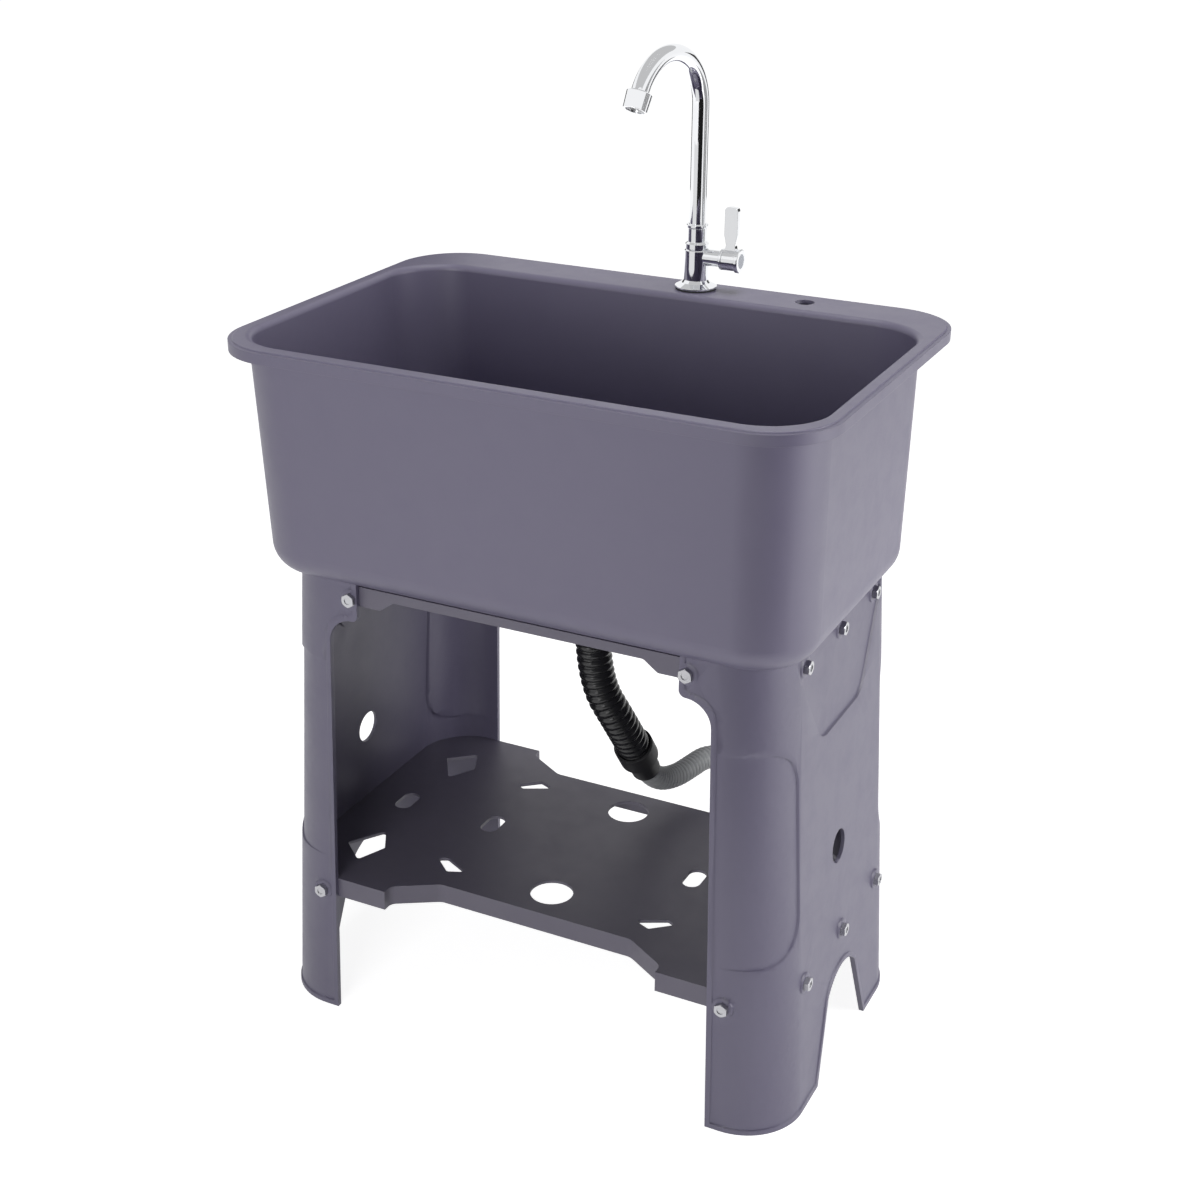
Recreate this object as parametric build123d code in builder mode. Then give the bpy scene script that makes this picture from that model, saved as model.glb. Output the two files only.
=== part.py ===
from build123d import *
import os
from math import cos, radians, sin, tan

# Freestanding utility laundry sink: a moulded tub with a rolled rim and tap deck, on two
# splayed side panels joined by two rails and a low shelf, with a swivel gooseneck tap, a
# basket strainer and a ribbed drain hose.
# Millimetres. +Z up, front faces -Y, origin on the floor below the middle of the rim.

os.makedirs("parts", exist_ok=True)

# ---- rim and deck ---------------------------------------------------------------------
RIM_LENGTH = 620.0
RIM_WIDTH = 435.0
RIM_HEIGHT = 753.0
RIM_CORNER = 70.0
RIM_PLATE = 4.0
RIM_SKIRT_DEPTH = 12.0
RIM_SKIRT_WALL = 3.5
RIM_STEP_WIDTH = 4.0
RIM_STEP_DROP = 1.5
RIM_NOSE_RADIUS = 6.0
RIM_EDGE_RADIUS = 1.2

# ---- bowl -----------------------------------------------------------------------------
BOWL_WALL = 3.5
BOWL_DEPTH = 244.0
BOWL_END_LEDGE = 14.5
BOWL_FRONT_LEDGE = 18.5
TAP_DECK = 60.0
BOWL_END_DRAFT = 4.0
BOWL_FRONT_DRAFT = 13.0
BOWL_BACK_DRAFT = 2.0
BOWL_CORNER = 62.0
BOWL_EDGE_RADIUS = 30.0
BOWL_BOTTOM = RIM_HEIGHT - BOWL_DEPTH
BOWL_TOP_LENGTH = RIM_LENGTH - 2 * BOWL_END_LEDGE
BOWL_BASE_LENGTH = BOWL_TOP_LENGTH - 2 * BOWL_END_DRAFT
BOWL_TOP_FRONT = RIM_WIDTH / 2 - BOWL_FRONT_LEDGE
BOWL_BASE_FRONT = BOWL_TOP_FRONT - BOWL_FRONT_DRAFT
BOWL_TOP_BACK = RIM_WIDTH / 2 - TAP_DECK
BOWL_BASE_BACK = BOWL_TOP_BACK - BOWL_BACK_DRAFT

# ---- stand: both panels lie on one splayed, rounded tube ------------------------------
STAND_HEIGHT = BOWL_BOTTOM
STAND_END_INSET = 39.9
STAND_SIDE_INSET = 46.05
END_SPLAY = 28.9
SIDE_SPLAY = 9.65
STAND_TOP_LENGTH = RIM_LENGTH - 2 * STAND_END_INSET
STAND_TOP_WIDTH = RIM_WIDTH - 2 * STAND_SIDE_INSET
FOOT_LENGTH = STAND_TOP_LENGTH + 2 * END_SPLAY
FOOT_WIDTH = STAND_TOP_WIDTH + 2 * SIDE_SPLAY
STAND_CORNER = 63.0
PANEL_WALL = 4.0
PANEL_RELIEF = 2.5
FLANGE_FOOT_EDGE = FOOT_LENGTH / 2 - 79.0
FLANGE_TOP_EDGE = FLANGE_FOOT_EDGE - 12.0
EAR_EDGE = FLANGE_TOP_EDGE - 33.0
EAR_BOTTOM = STAND_HEIGHT - 37.0
EAR_ROOT_RADIUS = 27.0
EAR_TIP_RADIUS = 7.0
BEAD_WIDTH = 5.5
BEAD_PROUD = 1.4
OVERCUT = 3.0
ARCH_FOOT_HALF = 72.0
ARCH_TOP_HALF = 40.0
ARCH_SHOULDER = 88.0
ARCH_TOP = 106.0
CORNER_RELIEF_EDGE = FOOT_WIDTH / 2 - 63.1
CORNER_RELIEF_BOTTOM = 191.0
CORNER_RELIEF_TOP = STAND_HEIGHT - 87.0
CORNER_RELIEF_RADIUS = 46.0
POCKET_TOP_HALF = FOOT_WIDTH / 2 - 66.1
POCKET_BOTTOM_HALF = 58.0
POCKET_SHOULDER = STAND_HEIGHT - 23.0
POCKET_BOTTOM = STAND_HEIGHT - 114.0
POCKET_SHOULDER_RADIUS = 20.0
POCKET_FOOT_RADIUS = 30.0
PASS_HOLE = 36.0
PASS_HOLE_Y = -8.0
PASS_HOLE_Z = 252.0

# ---- rails under the bowl -------------------------------------------------------------
RAIL_HALF_LENGTH = FLANGE_TOP_EDGE - 5.0
RAIL_BOLT_X = EAR_EDGE + 7.6
RAIL_BOLT_Z = STAND_HEIGHT - 13.0
RAIL_WALL = 4.0
RAIL_FLANGE_DEPTH = 30.0
RAIL_MID_DEPTH = 10.0
RAIL_TAB_DEPTH = 21.0
RAIL_TAB_INNER = EAR_EDGE - 24.0
RAIL_SLOPE_TOP = RAIL_TAB_INNER - 15.0
RAIL_TAB_RADIUS = 4.0
RAIL_SLOPE_RADIUS = 6.0

# ---- shelf ----------------------------------------------------------------------------
SHELF_TOP = 162.0
SHELF_PLATE = 3.5
SHELF_DEPTH = 22.0
SHELF_WAIST_HALF = FOOT_WIDTH / 2 - 47.1
SHELF_SHOULDER = FOOT_LENGTH / 2 - 141.0
SHELF_WAIST_END = SHELF_SHOULDER - 46.0
SHELF_BAY_STEP = 28.0
SHELF_BAY_RADIUS = 10.0
SHELF_WAIST_RADIUS = 16.0
SHELF_ROUND_HOLE = 46.0
SHELF_ROUND_HOLE_Y = SHELF_WAIST_HALF - 40.5
SHELF_SLOT_LENGTH = 36.0
SHELF_SLOT_WIDTH = 20.0
SHELF_SLOT_XS = (SHELF_SHOULDER - 34.0, FOOT_LENGTH / 2 - 62.0)
# corners of the two wedge-shaped holes, from the shoulder or the end and the round hole
WEDGE_INNER = ((-57.0, 7.5), (-26.0, -8.5), (-16.0, -3.5), (-38.0, 15.5))
WEDGE_OUTER = ((-51.0, 13.5), (-76.0, -25.5), (-94.0, 5.5), (-80.0, 38.5))
WEDGE_RADIUS = 3.0
SHELF_RIB = 3.0
SHELF_RIB_DEPTH = 12.0
SHELF_RIB_Y = 45.0
SHELF_RIB_XS = (60.0, SHELF_SHOULDER + 16.0)

# ---- M8 hexagon bolts and nuts --------------------------------------------------------
BOLT = 8.0
BOLT_FIT = 0.25
HEX_FLATS = 13.0
HEAD_HEIGHT = 5.3
HEAD_DISH = 7.0
HEAD_DISH_DEPTH = 0.8
NUT_HEIGHT = 6.5
THREAD_END = 3.0
BOSS = 22.0
BOSS_PROUD = 1.6
NUT_PAD = 2.0
NUT_PAD_DIAMETER = 17.0
BOWL_BOLT_Y = FOOT_WIDTH / 2 - 84.1
BOWL_BOLT_YS = (-BOWL_BOLT_Y, 0, BOWL_BOLT_Y)
BOWL_BOLT_Z = STAND_HEIGHT - 19.0
SHELF_FRONT_BOLT_X = FOOT_LENGTH / 2 - 66.0
SHELF_FRONT_BOLT_Z = SHELF_TOP - 15.0
SHELF_SIDE_BOLT_Y = FOOT_WIDTH / 2 - 74.1
SHELF_SIDE_BOLT_YS = (-SHELF_SIDE_BOLT_Y, 0, SHELF_SIDE_BOLT_Y)
SHELF_SIDE_BOLT_Z = SHELF_TOP - 12.5
LUG_WIDTH = 26.0
LUG_THICKNESS = 14.0
LUG_BOTTOM = STAND_HEIGHT - 33.0
LUG_FIT = 0.15
GUSSET_REACH = 26.0
GUSSET_WALL = 4.0

# ---- drain ----------------------------------------------------------------------------
DRAIN_HOLE = 52.0
DRAIN_FIT = 0.5
RECESS = 78.0
RECESS_DEPTH = 3.0
PAD = 88.0
FLANGE = 72.0
FLANGE_THICKNESS = 2.5
BARREL_WALL = 2.5
BARREL_LENGTH = 38.0
BARREL_FLOOR = 2.5
GASKET = 70.0
GASKET_THICKNESS = 3.0
LOCK_NUT = 68.0
LOCK_NUT_HEIGHT = 9.0
LOCK_NUT_LUGS = 8
BASKET_FIT = 0.5
BASKET_DEPTH = 24.0
BASKET_WALL = 1.6
BASKET_HOLE = 4.0
BASKET_KNOB = 9.0
BASKET_KNOB_HEIGHT = 16.0
OUTLET = 34.0
OUTLET_BORE = 28.0
OUTLET_LENGTH = 26.0
HOSE_NUT_HEIGHT = 24.0
HOSE_NUT_WALL = 4.5
HOSE_NUT_GRIP = 1.6
HOSE_NUT_GRIPS = 12

# ---- drain hose -----------------------------------------------------------------------
HOSE_A = 38.0
HOSE_A_ROOT = HOSE_A - 5.0
HOSE_A_BORE = HOSE_A - 10.0
HOSE_A_PITCH = 8.8
HOSE_B = 27.0
HOSE_B_ROOT = HOSE_B - 3.4
HOSE_B_BORE = HOSE_B - 8.0
HOSE_B_PITCH = 5.6
HOSE_REACH = 0.45
HOSE_FIT = 0.3
SLEEVE_SOCKET_A = 26.0
SLEEVE_SOCKET_B = 22.0
SLEEVE_SHOULDER = 8.0
SLEEVE_WALL = 2.5
END_CUFF_LENGTH = 30.0
END_CUFF_WALL = 1.5

# ---- tap ------------------------------------------------------------------------------
TAP_X = 25.5
DECK_HOLE_Y = RIM_WIDTH / 2 - 30.5
SPARE_HOLE_X = 147.0
SPARE_HOLE = 20.0
SHANK = 21.0
SHANK_LENGTH = 52.0
DECK_HOLE = SHANK + 1.0
THREAD_RELIEF = 18.6
THREAD_RELIEF_WIDTH = 5.0
THREAD_RELIEF_DROP = 0.5
BASE_FLANGE = 44.0
BASE_FLANGE_HEIGHT = 5.0
BASE_FLANGE_EDGE = 1.5
BASE_FLARE = 2.0
BASE_FLARE_HEIGHT = 3.0
BASE_SEAL = 2.0
TAP_BODY = 26.0
TAP_BASE_Z = RIM_HEIGHT + BASE_SEAL
TAP_BODY_TOP = TAP_BASE_Z + 41.0
TAP_BODY_CHAMFER = 2.0
COLLAR_RING = 25.0
COLLAR_RING_HEIGHT = 6.0
COLLAR = 20.6
COLLAR_TOP = TAP_BODY_TOP + 21.0
COLLAR_RING_EDGE = 1.0
SPOUT_RING = 23.0
SPOUT_RING_HEIGHT = 4.0
SPOUT_RING_EDGE = 1.0
SPOUT_RING_BITE = 0.5
SPOUT_FOOT_GAP = 0.5
RIDE_GAP = 0.3
SPOUT = 18.0
SPOUT_BORE = 15.0
SPOUT_TAIL = 14.0
SPOUT_BEND_START = COLLAR_TOP + 123.6
SPOUT_BEND_RADIUS = 56.6
SPOUT_BEND_ANGLE = 153.0
SPOUT_SWING = 10.0
SPOUT_NOSE = 4.0
AERATOR_BACK = 26.0
AERATOR_FRONT = 24.5
AERATOR_LENGTH = 18.0
AERATOR_WALL = 2.5
MESH_INSET = 2.0
MESH_THICKNESS = 2.0
MESH_HOLE = 2.0
MESH_PITCH = 2.9
O_RING_SECTION = 1.8
O_RING_DROP = 8.0
RUNNING_FIT = 0.06
VALVE_Z = TAP_BASE_Z + 32.0
VALVE_STUB = 17.6
VALVE_STUB_END = 28.0
BONNET = 22.5
BONNET_LENGTH = 3.0
BONNET_GAP = 0.4
BONNET_CHAMFER = 0.6
STEM = 8.0
STEM_DEPTH = 14.0
HUB = 22.0
LEVER_WIDTH = 14.4
LEVER_THICKNESS = 6.0
LEVER_NECK = 10.0
LEVER_NECK_Z = VALVE_Z + 16.0
LEVER_SHOULDER_Z = VALVE_Z + 26.0
LEVER_TOP = VALVE_Z + 55.0
LEVER_TIP_RADIUS = 4.0
LEVER_NECK_RADIUS = 4.0
LEVER_SHOULDER_RADIUS = 6.0
CAP = 25.0
CAP_LENGTH = 4.0
CAP_EDGE = 1.2
DISC = 15.0
DISC_DEPTH = 1.0
MOUNT_NUT = 30.0
MOUNT_NUT_HEIGHT = 8.0
MOUNT_WASHER = 34.0
MOUNT_WASHER_THICKNESS = 2.5

FAR = 900.0


# ---- shared shapes --------------------------------------------------------------------
def side_x(z):
    """Half the stand's outer length at height z."""
    return (FOOT_LENGTH + (STAND_TOP_LENGTH - FOOT_LENGTH) * z / STAND_HEIGHT) / 2


def front_y(z):
    """Half the stand's outer width at height z."""
    return (FOOT_WIDTH + (STAND_TOP_WIDTH - FOOT_WIDTH) * z / STAND_HEIGHT) / 2


def stand_section(z, inset):
    with BuildSketch(Plane.XY.offset(z)) as section:
        RectangleRounded(2 * (side_x(z) - inset), 2 * (front_y(z) - inset), STAND_CORNER - inset)
    return section.sketch


def stand_solid(inset, low=0.0, high=STAND_HEIGHT):
    """The splayed rounded tube, filled, with its faces moved in by inset."""
    with BuildPart() as solid:
        loft([stand_section(low, inset), stand_section(high, inset)])
    return solid.part


def stand_skin(outer, inner, zone):
    """The layer of the tube between two insets, where it crosses zone."""
    with BuildPart() as skin:
        add(stand_solid(outer))
        add(stand_solid(inner), mode=Mode.SUBTRACT)
        add(zone, mode=Mode.INTERSECT)
    return skin.part


def bowl_section(z, inset):
    """The bowl's outline at height z, moved in by inset."""
    share = (z - BOWL_BOTTOM) / (RIM_HEIGHT - BOWL_BOTTOM)
    length = BOWL_BASE_LENGTH + (BOWL_TOP_LENGTH - BOWL_BASE_LENGTH) * share
    front = BOWL_BASE_FRONT + (BOWL_TOP_FRONT - BOWL_BASE_FRONT) * share
    back = BOWL_BASE_BACK + (BOWL_TOP_BACK - BOWL_BASE_BACK) * share
    with BuildSketch(Plane.XY.offset(z)) as section:
        with Locations((0, (back - front) / 2)):
            RectangleRounded(length - 2 * inset, front + back - 2 * inset, BOWL_CORNER - inset)
    return section.sketch


def across(axis_point, radius, length, direction):
    """A cylinder from axis_point along direction."""
    with BuildPart(Plane(origin=axis_point, z_dir=direction)) as rod:
        Cylinder(radius, length, align=(Align.CENTER, Align.CENTER, Align.MIN))
    return rod.part


def hexagon(plane, flats, height, bore):
    """A hexagonal prism with a chamfered far end and a bore where one is given."""
    corner = flats / cos(radians(30)) / 2
    with BuildPart() as prism:
        with BuildSketch(plane):
            RegularPolygon(flats / 2, 6, major_radius=False)
        extrude(amount=height)
        with BuildSketch(plane):
            Circle(corner + height * tan(radians(60)) - (corner - flats / 2) * 1.05)
        extrude(amount=height, taper=60, mode=Mode.INTERSECT)
        if bore:
            with BuildSketch(plane):
                Circle(bore / 2)
            extrude(amount=height, mode=Mode.SUBTRACT)
    return prism.part


def hex_bolt(seat, direction, grip):
    """A bolt whose head sits on seat and whose shank runs the grip, a nut and its end."""
    inward = Vector(*direction)
    head_plane = Plane(origin=seat, z_dir=-inward)
    with BuildPart() as bolt:
        add(hexagon(head_plane, HEX_FLATS, HEAD_HEIGHT, 0))
        with BuildSketch(head_plane.offset(HEAD_HEIGHT)):
            Circle(HEAD_DISH / 2)
        extrude(amount=-HEAD_DISH_DEPTH, mode=Mode.SUBTRACT)
        add(across(seat, BOLT / 2, grip + NUT_HEIGHT + THREAD_END, direction))
    return bolt.part


def hex_nut(seat, direction):
    """A nut whose bearing face is on seat."""
    return hexagon(Plane(origin=seat, z_dir=Vector(*direction)), HEX_FLATS, NUT_HEIGHT, BOLT)


# ---- bolt places: seat of each head, the way it points in, and the grip ------------------
def side_bolt_places(ys, z, relief, backing):
    """Bolts through both end walls: (head seat, direction, grip)."""
    seat_x = side_x(z) - relief + BOSS_PROUD
    nut_x = side_x(z) - relief - PANEL_WALL - backing
    return [((s * seat_x, y, z), (-s, 0, 0), seat_x - nut_x) for s in (-1, 1) for y in ys]


def front_bolt_places(x, z, backing):
    """Bolts through the front and rear flanges: (head seat, direction, grip)."""
    seat_y = front_y(z) + BOSS_PROUD
    nut_y = front_y(z) - PANEL_WALL - backing
    return [((u * x, s * seat_y, z), (0, -s, 0), seat_y - nut_y) for s in (-1, 1) for u in (-1, 1)]


SHELF_GRIP = SHELF_PLATE + NUT_PAD
BOWL_BOLTS = side_bolt_places(BOWL_BOLT_YS, BOWL_BOLT_Z, PANEL_RELIEF, LUG_FIT + LUG_THICKNESS)
SHELF_SIDE_BOLTS = side_bolt_places(SHELF_SIDE_BOLT_YS, SHELF_SIDE_BOLT_Z, 0, SHELF_GRIP)
RAIL_BOLTS = front_bolt_places(RAIL_BOLT_X, RAIL_BOLT_Z, RAIL_WALL + NUT_PAD)
SHELF_FRONT_BOLTS = front_bolt_places(SHELF_FRONT_BOLT_X, SHELF_FRONT_BOLT_Z, SHELF_GRIP)
ALL_BOLTS = BOWL_BOLTS + SHELF_SIDE_BOLTS + RAIL_BOLTS + SHELF_FRONT_BOLTS


def bolt_bores(places):
    """Clearance holes along the given bolts, all as one cutter."""
    with BuildPart() as bores:
        for seat, direction, grip in places:
            add(across(seat, BOLT / 2 + BOLT_FIT, grip + NUT_HEIGHT, direction))
    return bores.part


def nut_pads(places, backing):
    """Round pads between the backing wall's outer face and each nut, as one piece."""
    with BuildPart() as pads:
        for seat, direction, grip in places:
            start = Vector(*seat) + Vector(*direction) * (grip - backing)
            add(across(start, NUT_PAD_DIAMETER / 2, backing, direction))
    return pads.part


# ---- tub: bowl, rim and deck in one moulding ---------------------------------------------
LUG_INSET = PANEL_WALL + PANEL_RELIEF + LUG_FIT
LUG_X = side_x(BOWL_BOLT_Z) - LUG_INSET
with BuildPart() as lug_block:
    # one lug profile, sloped like the panel it bears on, and its two gussets
    with BuildSketch(Plane.XZ) as lug_outline:
        with BuildLine():
            Polyline(
                (side_x(LUG_BOTTOM) - LUG_INSET, LUG_BOTTOM),
                (side_x(BOWL_BOTTOM) - LUG_INSET, BOWL_BOTTOM),
                (side_x(BOWL_BOTTOM) - LUG_INSET, BOWL_BOTTOM + BOWL_WALL),
                (LUG_X - LUG_THICKNESS, BOWL_BOTTOM + BOWL_WALL),
                (LUG_X - LUG_THICKNESS, LUG_BOTTOM),
                close=True,
            )
        make_face()
    extrude(amount=LUG_WIDTH / 2, both=True)
    for gusset_y in (-1, 1):
        gusset_middle = gusset_y * (LUG_WIDTH - GUSSET_WALL) / 2
        with BuildSketch(Plane.XZ.offset(-gusset_middle)) as gusset_outline:
            with BuildLine():
                Polyline(
                    (LUG_X - LUG_THICKNESS, LUG_BOTTOM),
                    (LUG_X - LUG_THICKNESS, BOWL_BOTTOM + BOWL_WALL),
                    (LUG_X - LUG_THICKNESS - GUSSET_REACH, BOWL_BOTTOM + BOWL_WALL),
                    (LUG_X - LUG_THICKNESS - GUSSET_REACH, BOWL_BOTTOM),
                    close=True,
                )
            make_face()
        extrude(amount=GUSSET_WALL / 2, both=True)

with BuildPart() as basin:
    # rim plate with its stepped edge and turned-down skirt
    with BuildSketch(Plane.XY.offset(RIM_HEIGHT - RIM_SKIRT_DEPTH)):
        RectangleRounded(RIM_LENGTH, RIM_WIDTH, RIM_CORNER)
    extrude(amount=RIM_SKIRT_DEPTH - RIM_STEP_DROP)
    with BuildSketch(Plane.XY.offset(RIM_HEIGHT - RIM_STEP_DROP)):
        RectangleRounded(
            RIM_LENGTH - 2 * RIM_STEP_WIDTH,
            RIM_WIDTH - 2 * RIM_STEP_WIDTH,
            RIM_CORNER - RIM_STEP_WIDTH,
        )
    extrude(amount=RIM_STEP_DROP)
    fillet(basin.edges().group_by(Axis.Z)[-1], RIM_EDGE_RADIUS)
    with BuildSketch(Plane.XY.offset(RIM_HEIGHT - RIM_SKIRT_DEPTH)):
        RectangleRounded(
            RIM_LENGTH - 2 * RIM_SKIRT_WALL,
            RIM_WIDTH - 2 * RIM_SKIRT_WALL,
            RIM_CORNER - RIM_SKIRT_WALL,
        )
    extrude(amount=RIM_SKIRT_DEPTH - RIM_PLATE, mode=Mode.SUBTRACT)

    # bowl shell with a wide rounded bottom edge
    with BuildPart(mode=Mode.PRIVATE) as bowl_outside:
        loft([bowl_section(BOWL_BOTTOM, 0), bowl_section(RIM_HEIGHT - RIM_PLATE / 2, 0)])
        fillet(bowl_outside.faces().sort_by(Axis.Z)[0].edges(), BOWL_EDGE_RADIUS)
    with BuildPart(mode=Mode.PRIVATE) as bowl_inside:
        loft([bowl_section(BOWL_BOTTOM + BOWL_WALL, BOWL_WALL), bowl_section(RIM_HEIGHT, BOWL_WALL)])
        fillet(bowl_inside.faces().sort_by(Axis.Z)[0].edges(), BOWL_EDGE_RADIUS - BOWL_WALL)
    add(bowl_outside.part)
    for end in (-1, 1):
        for lug_y in BOWL_BOLT_YS:
            lug = lug_block.part if end > 0 else lug_block.part.mirror(Plane.YZ)
            add(lug.moved(Location((0, lug_y, 0))))
    with Locations((0, 0, BOWL_BOTTOM - RECESS_DEPTH)):
        Cylinder(PAD / 2, RECESS_DEPTH + BOWL_WALL, align=(Align.CENTER, Align.CENTER, Align.MIN))
    add(bowl_inside.part, mode=Mode.SUBTRACT)
    fillet(basin.faces().sort_by(Axis.Z)[-1].inner_wires()[0].edges(), RIM_NOSE_RADIUS)

    # drain recess and hole, deck holes and lug bores
    with Locations((0, 0, BOWL_BOTTOM + BOWL_WALL)):
        CounterBoreHole(DRAIN_HOLE / 2, RECESS / 2, RECESS_DEPTH)
    with Locations((TAP_X, DECK_HOLE_Y, RIM_HEIGHT)):
        Hole(DECK_HOLE / 2, depth=RIM_PLATE)
    with Locations((SPARE_HOLE_X, DECK_HOLE_Y, RIM_HEIGHT)):
        Hole(SPARE_HOLE / 2, depth=RIM_PLATE)
    add(bolt_bores(BOWL_BOLTS), mode=Mode.SUBTRACT)
basin.part.label = "basin"
export_step(basin.part, "parts/basin.step")


# ---- side panels -------------------------------------------------------------------------
with BuildPart() as corner_zone:
    # stepped-in corners, with a wide curve at the lower inner end, on both long edges
    for edge in (-1, 1):
        with BuildSketch(Plane.YZ) as corner_outline:
            with BuildLine():
                FilletPolyline(
                    (edge * CORNER_RELIEF_EDGE, CORNER_RELIEF_TOP),
                    (edge * CORNER_RELIEF_EDGE, CORNER_RELIEF_BOTTOM),
                    (edge * FOOT_WIDTH, CORNER_RELIEF_BOTTOM),
                    (edge * FOOT_WIDTH, CORNER_RELIEF_TOP),
                    radius=CORNER_RELIEF_RADIUS,
                    close=True,
                )
            make_face()
        extrude(amount=FAR)

with BuildPart() as pocket_zone:
    with BuildSketch(Plane.YZ) as pocket_outline:
        with BuildLine():
            FilletPolyline(
                (-POCKET_TOP_HALF, STAND_HEIGHT + OVERCUT),
                (-POCKET_TOP_HALF, POCKET_SHOULDER),
                (-POCKET_BOTTOM_HALF, POCKET_BOTTOM),
                (POCKET_BOTTOM_HALF, POCKET_BOTTOM),
                (POCKET_TOP_HALF, POCKET_SHOULDER),
                (POCKET_TOP_HALF, STAND_HEIGHT + OVERCUT),
                radius=[
                    0, POCKET_SHOULDER_RADIUS, POCKET_FOOT_RADIUS,
                    POCKET_FOOT_RADIUS, POCKET_SHOULDER_RADIUS, 0,
                ],
                close=True,
            )
        make_face()
    extrude(amount=FAR)


def panel_profile(edge_shift):
    """The front view of one panel, its inner edge moved out by edge_shift."""
    with BuildSketch(Plane.XZ) as profile:
        with BuildLine():
            FilletPolyline(
                (FLANGE_FOOT_EDGE + edge_shift, 0),
                (FLANGE_TOP_EDGE + edge_shift, EAR_BOTTOM + edge_shift),
                (EAR_EDGE + edge_shift, EAR_BOTTOM + edge_shift),
                (EAR_EDGE + edge_shift, STAND_HEIGHT),
                (FOOT_LENGTH, STAND_HEIGHT),
                (FOOT_LENGTH, 0),
                radius=[0, EAR_ROOT_RADIUS, EAR_TIP_RADIUS, 0, 0, 0],
                close=True,
            )
        make_face()
    return profile.sketch


def arch_sketch(grow):
    """The round-topped arch between the two feet of a panel, grown by grow."""
    with BuildSketch(Plane.YZ) as arch:
        with BuildLine():
            left = Line((-ARCH_FOOT_HALF - grow, 0), (-ARCH_TOP_HALF - grow, ARCH_SHOULDER))
            top = ThreePointArc(left @ 1, (0, ARCH_TOP + grow), (ARCH_TOP_HALF + grow, ARCH_SHOULDER))
            right = Line(top @ 1, (ARCH_FOOT_HALF + grow, 0))
            Line(right @ 1, left @ 0)
        make_face()
    return arch.sketch


with BuildPart() as keep_zone:
    extrude(panel_profile(0), amount=FAR / 2, both=True)

with BuildPart() as bead_zone:
    # strip along the flanges' inner edges, band round the foot and strip round the arch
    extrude(panel_profile(-OVERCUT), amount=FAR / 2, both=True)
    extrude(panel_profile(BEAD_WIDTH), amount=FAR / 2, both=True, mode=Mode.SUBTRACT)
    with BuildSketch(Plane.XY):
        with Locations((FAR / 2, 0)):
            Rectangle(FAR, FAR)
    extrude(amount=BEAD_WIDTH)
    extrude(arch_sketch(BEAD_WIDTH), amount=FAR)


def relieved_solid(inset):
    """The filled tube at inset, stepped in at the corners and at the pocket."""
    with BuildPart() as solid:
        add(stand_solid(inset))
        for zone in (corner_zone.part, pocket_zone.part):
            add(stand_skin(inset - OVERCUT, inset + PANEL_RELIEF, zone), mode=Mode.SUBTRACT)
    return solid.part


with BuildPart() as beads:
    add(stand_solid(-BEAD_PROUD))
    add(bead_zone.part, mode=Mode.INTERSECT)

with BuildPart() as right_side_panel:
    add(relieved_solid(0))
    add(beads.part)
    for seat, direction, grip in ALL_BOLTS:
        if seat[0] > 0:
            add(across(seat, BOSS / 2, BOSS_PROUD + PANEL_WALL / 2, direction))
    add(relieved_solid(PANEL_WALL), mode=Mode.SUBTRACT)
    add(keep_zone.part, mode=Mode.INTERSECT)
    extrude(arch_sketch(0), amount=FAR, mode=Mode.SUBTRACT)
    with BuildSketch(Plane.YZ):
        with Locations((PASS_HOLE_Y, PASS_HOLE_Z)):
            Circle(PASS_HOLE / 2)
    extrude(amount=FAR, mode=Mode.SUBTRACT)
    add(bolt_bores(ALL_BOLTS), mode=Mode.SUBTRACT)
right_side_panel.part.label = "right_side_panel"
export_step(right_side_panel.part, "parts/right_side_panel.step")

left_side_panel = right_side_panel.part.mirror(Plane.YZ)
left_side_panel.label = "left_side_panel"
export_step(left_side_panel, "parts/left_side_panel.step")


# ---- rails -------------------------------------------------------------------------------
with BuildPart() as front_rail:
    with BuildSketch(Plane.XZ):
        with BuildLine():
            FilletPolyline(
                (-RAIL_HALF_LENGTH, STAND_HEIGHT),
                (-RAIL_HALF_LENGTH, STAND_HEIGHT - RAIL_TAB_DEPTH),
                (-RAIL_TAB_INNER, STAND_HEIGHT - RAIL_TAB_DEPTH),
                (-RAIL_SLOPE_TOP, STAND_HEIGHT - RAIL_MID_DEPTH),
                (RAIL_SLOPE_TOP, STAND_HEIGHT - RAIL_MID_DEPTH),
                (RAIL_TAB_INNER, STAND_HEIGHT - RAIL_TAB_DEPTH),
                (RAIL_HALF_LENGTH, STAND_HEIGHT - RAIL_TAB_DEPTH),
                (RAIL_HALF_LENGTH, STAND_HEIGHT),
                radius=[
                    0, RAIL_TAB_RADIUS, RAIL_SLOPE_RADIUS, RAIL_SLOPE_RADIUS,
                    RAIL_SLOPE_RADIUS, RAIL_SLOPE_RADIUS, RAIL_TAB_RADIUS, 0,
                ],
                close=True,
            )
        make_face()
    extrude(amount=FAR)
    add(stand_solid(PANEL_WALL), mode=Mode.INTERSECT)
    add(stand_solid(PANEL_WALL + RAIL_WALL, high=STAND_HEIGHT - RAIL_WALL), mode=Mode.SUBTRACT)
    split(bisect_by=Plane.XZ.offset(front_y(STAND_HEIGHT) - PANEL_WALL - RAIL_FLANGE_DEPTH))
    for place in RAIL_BOLTS:
        if place[0][1] < 0:
            add(nut_pads([place], NUT_PAD + RAIL_WALL / 2))
    add(bolt_bores(RAIL_BOLTS), mode=Mode.SUBTRACT)
front_rail.part.label = "front_rail"
export_step(front_rail.part, "parts/front_rail.step")

rear_rail = front_rail.part.mirror(Plane.XZ)
rear_rail.label = "rear_rail"
export_step(rear_rail, "parts/rear_rail.step")


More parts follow.
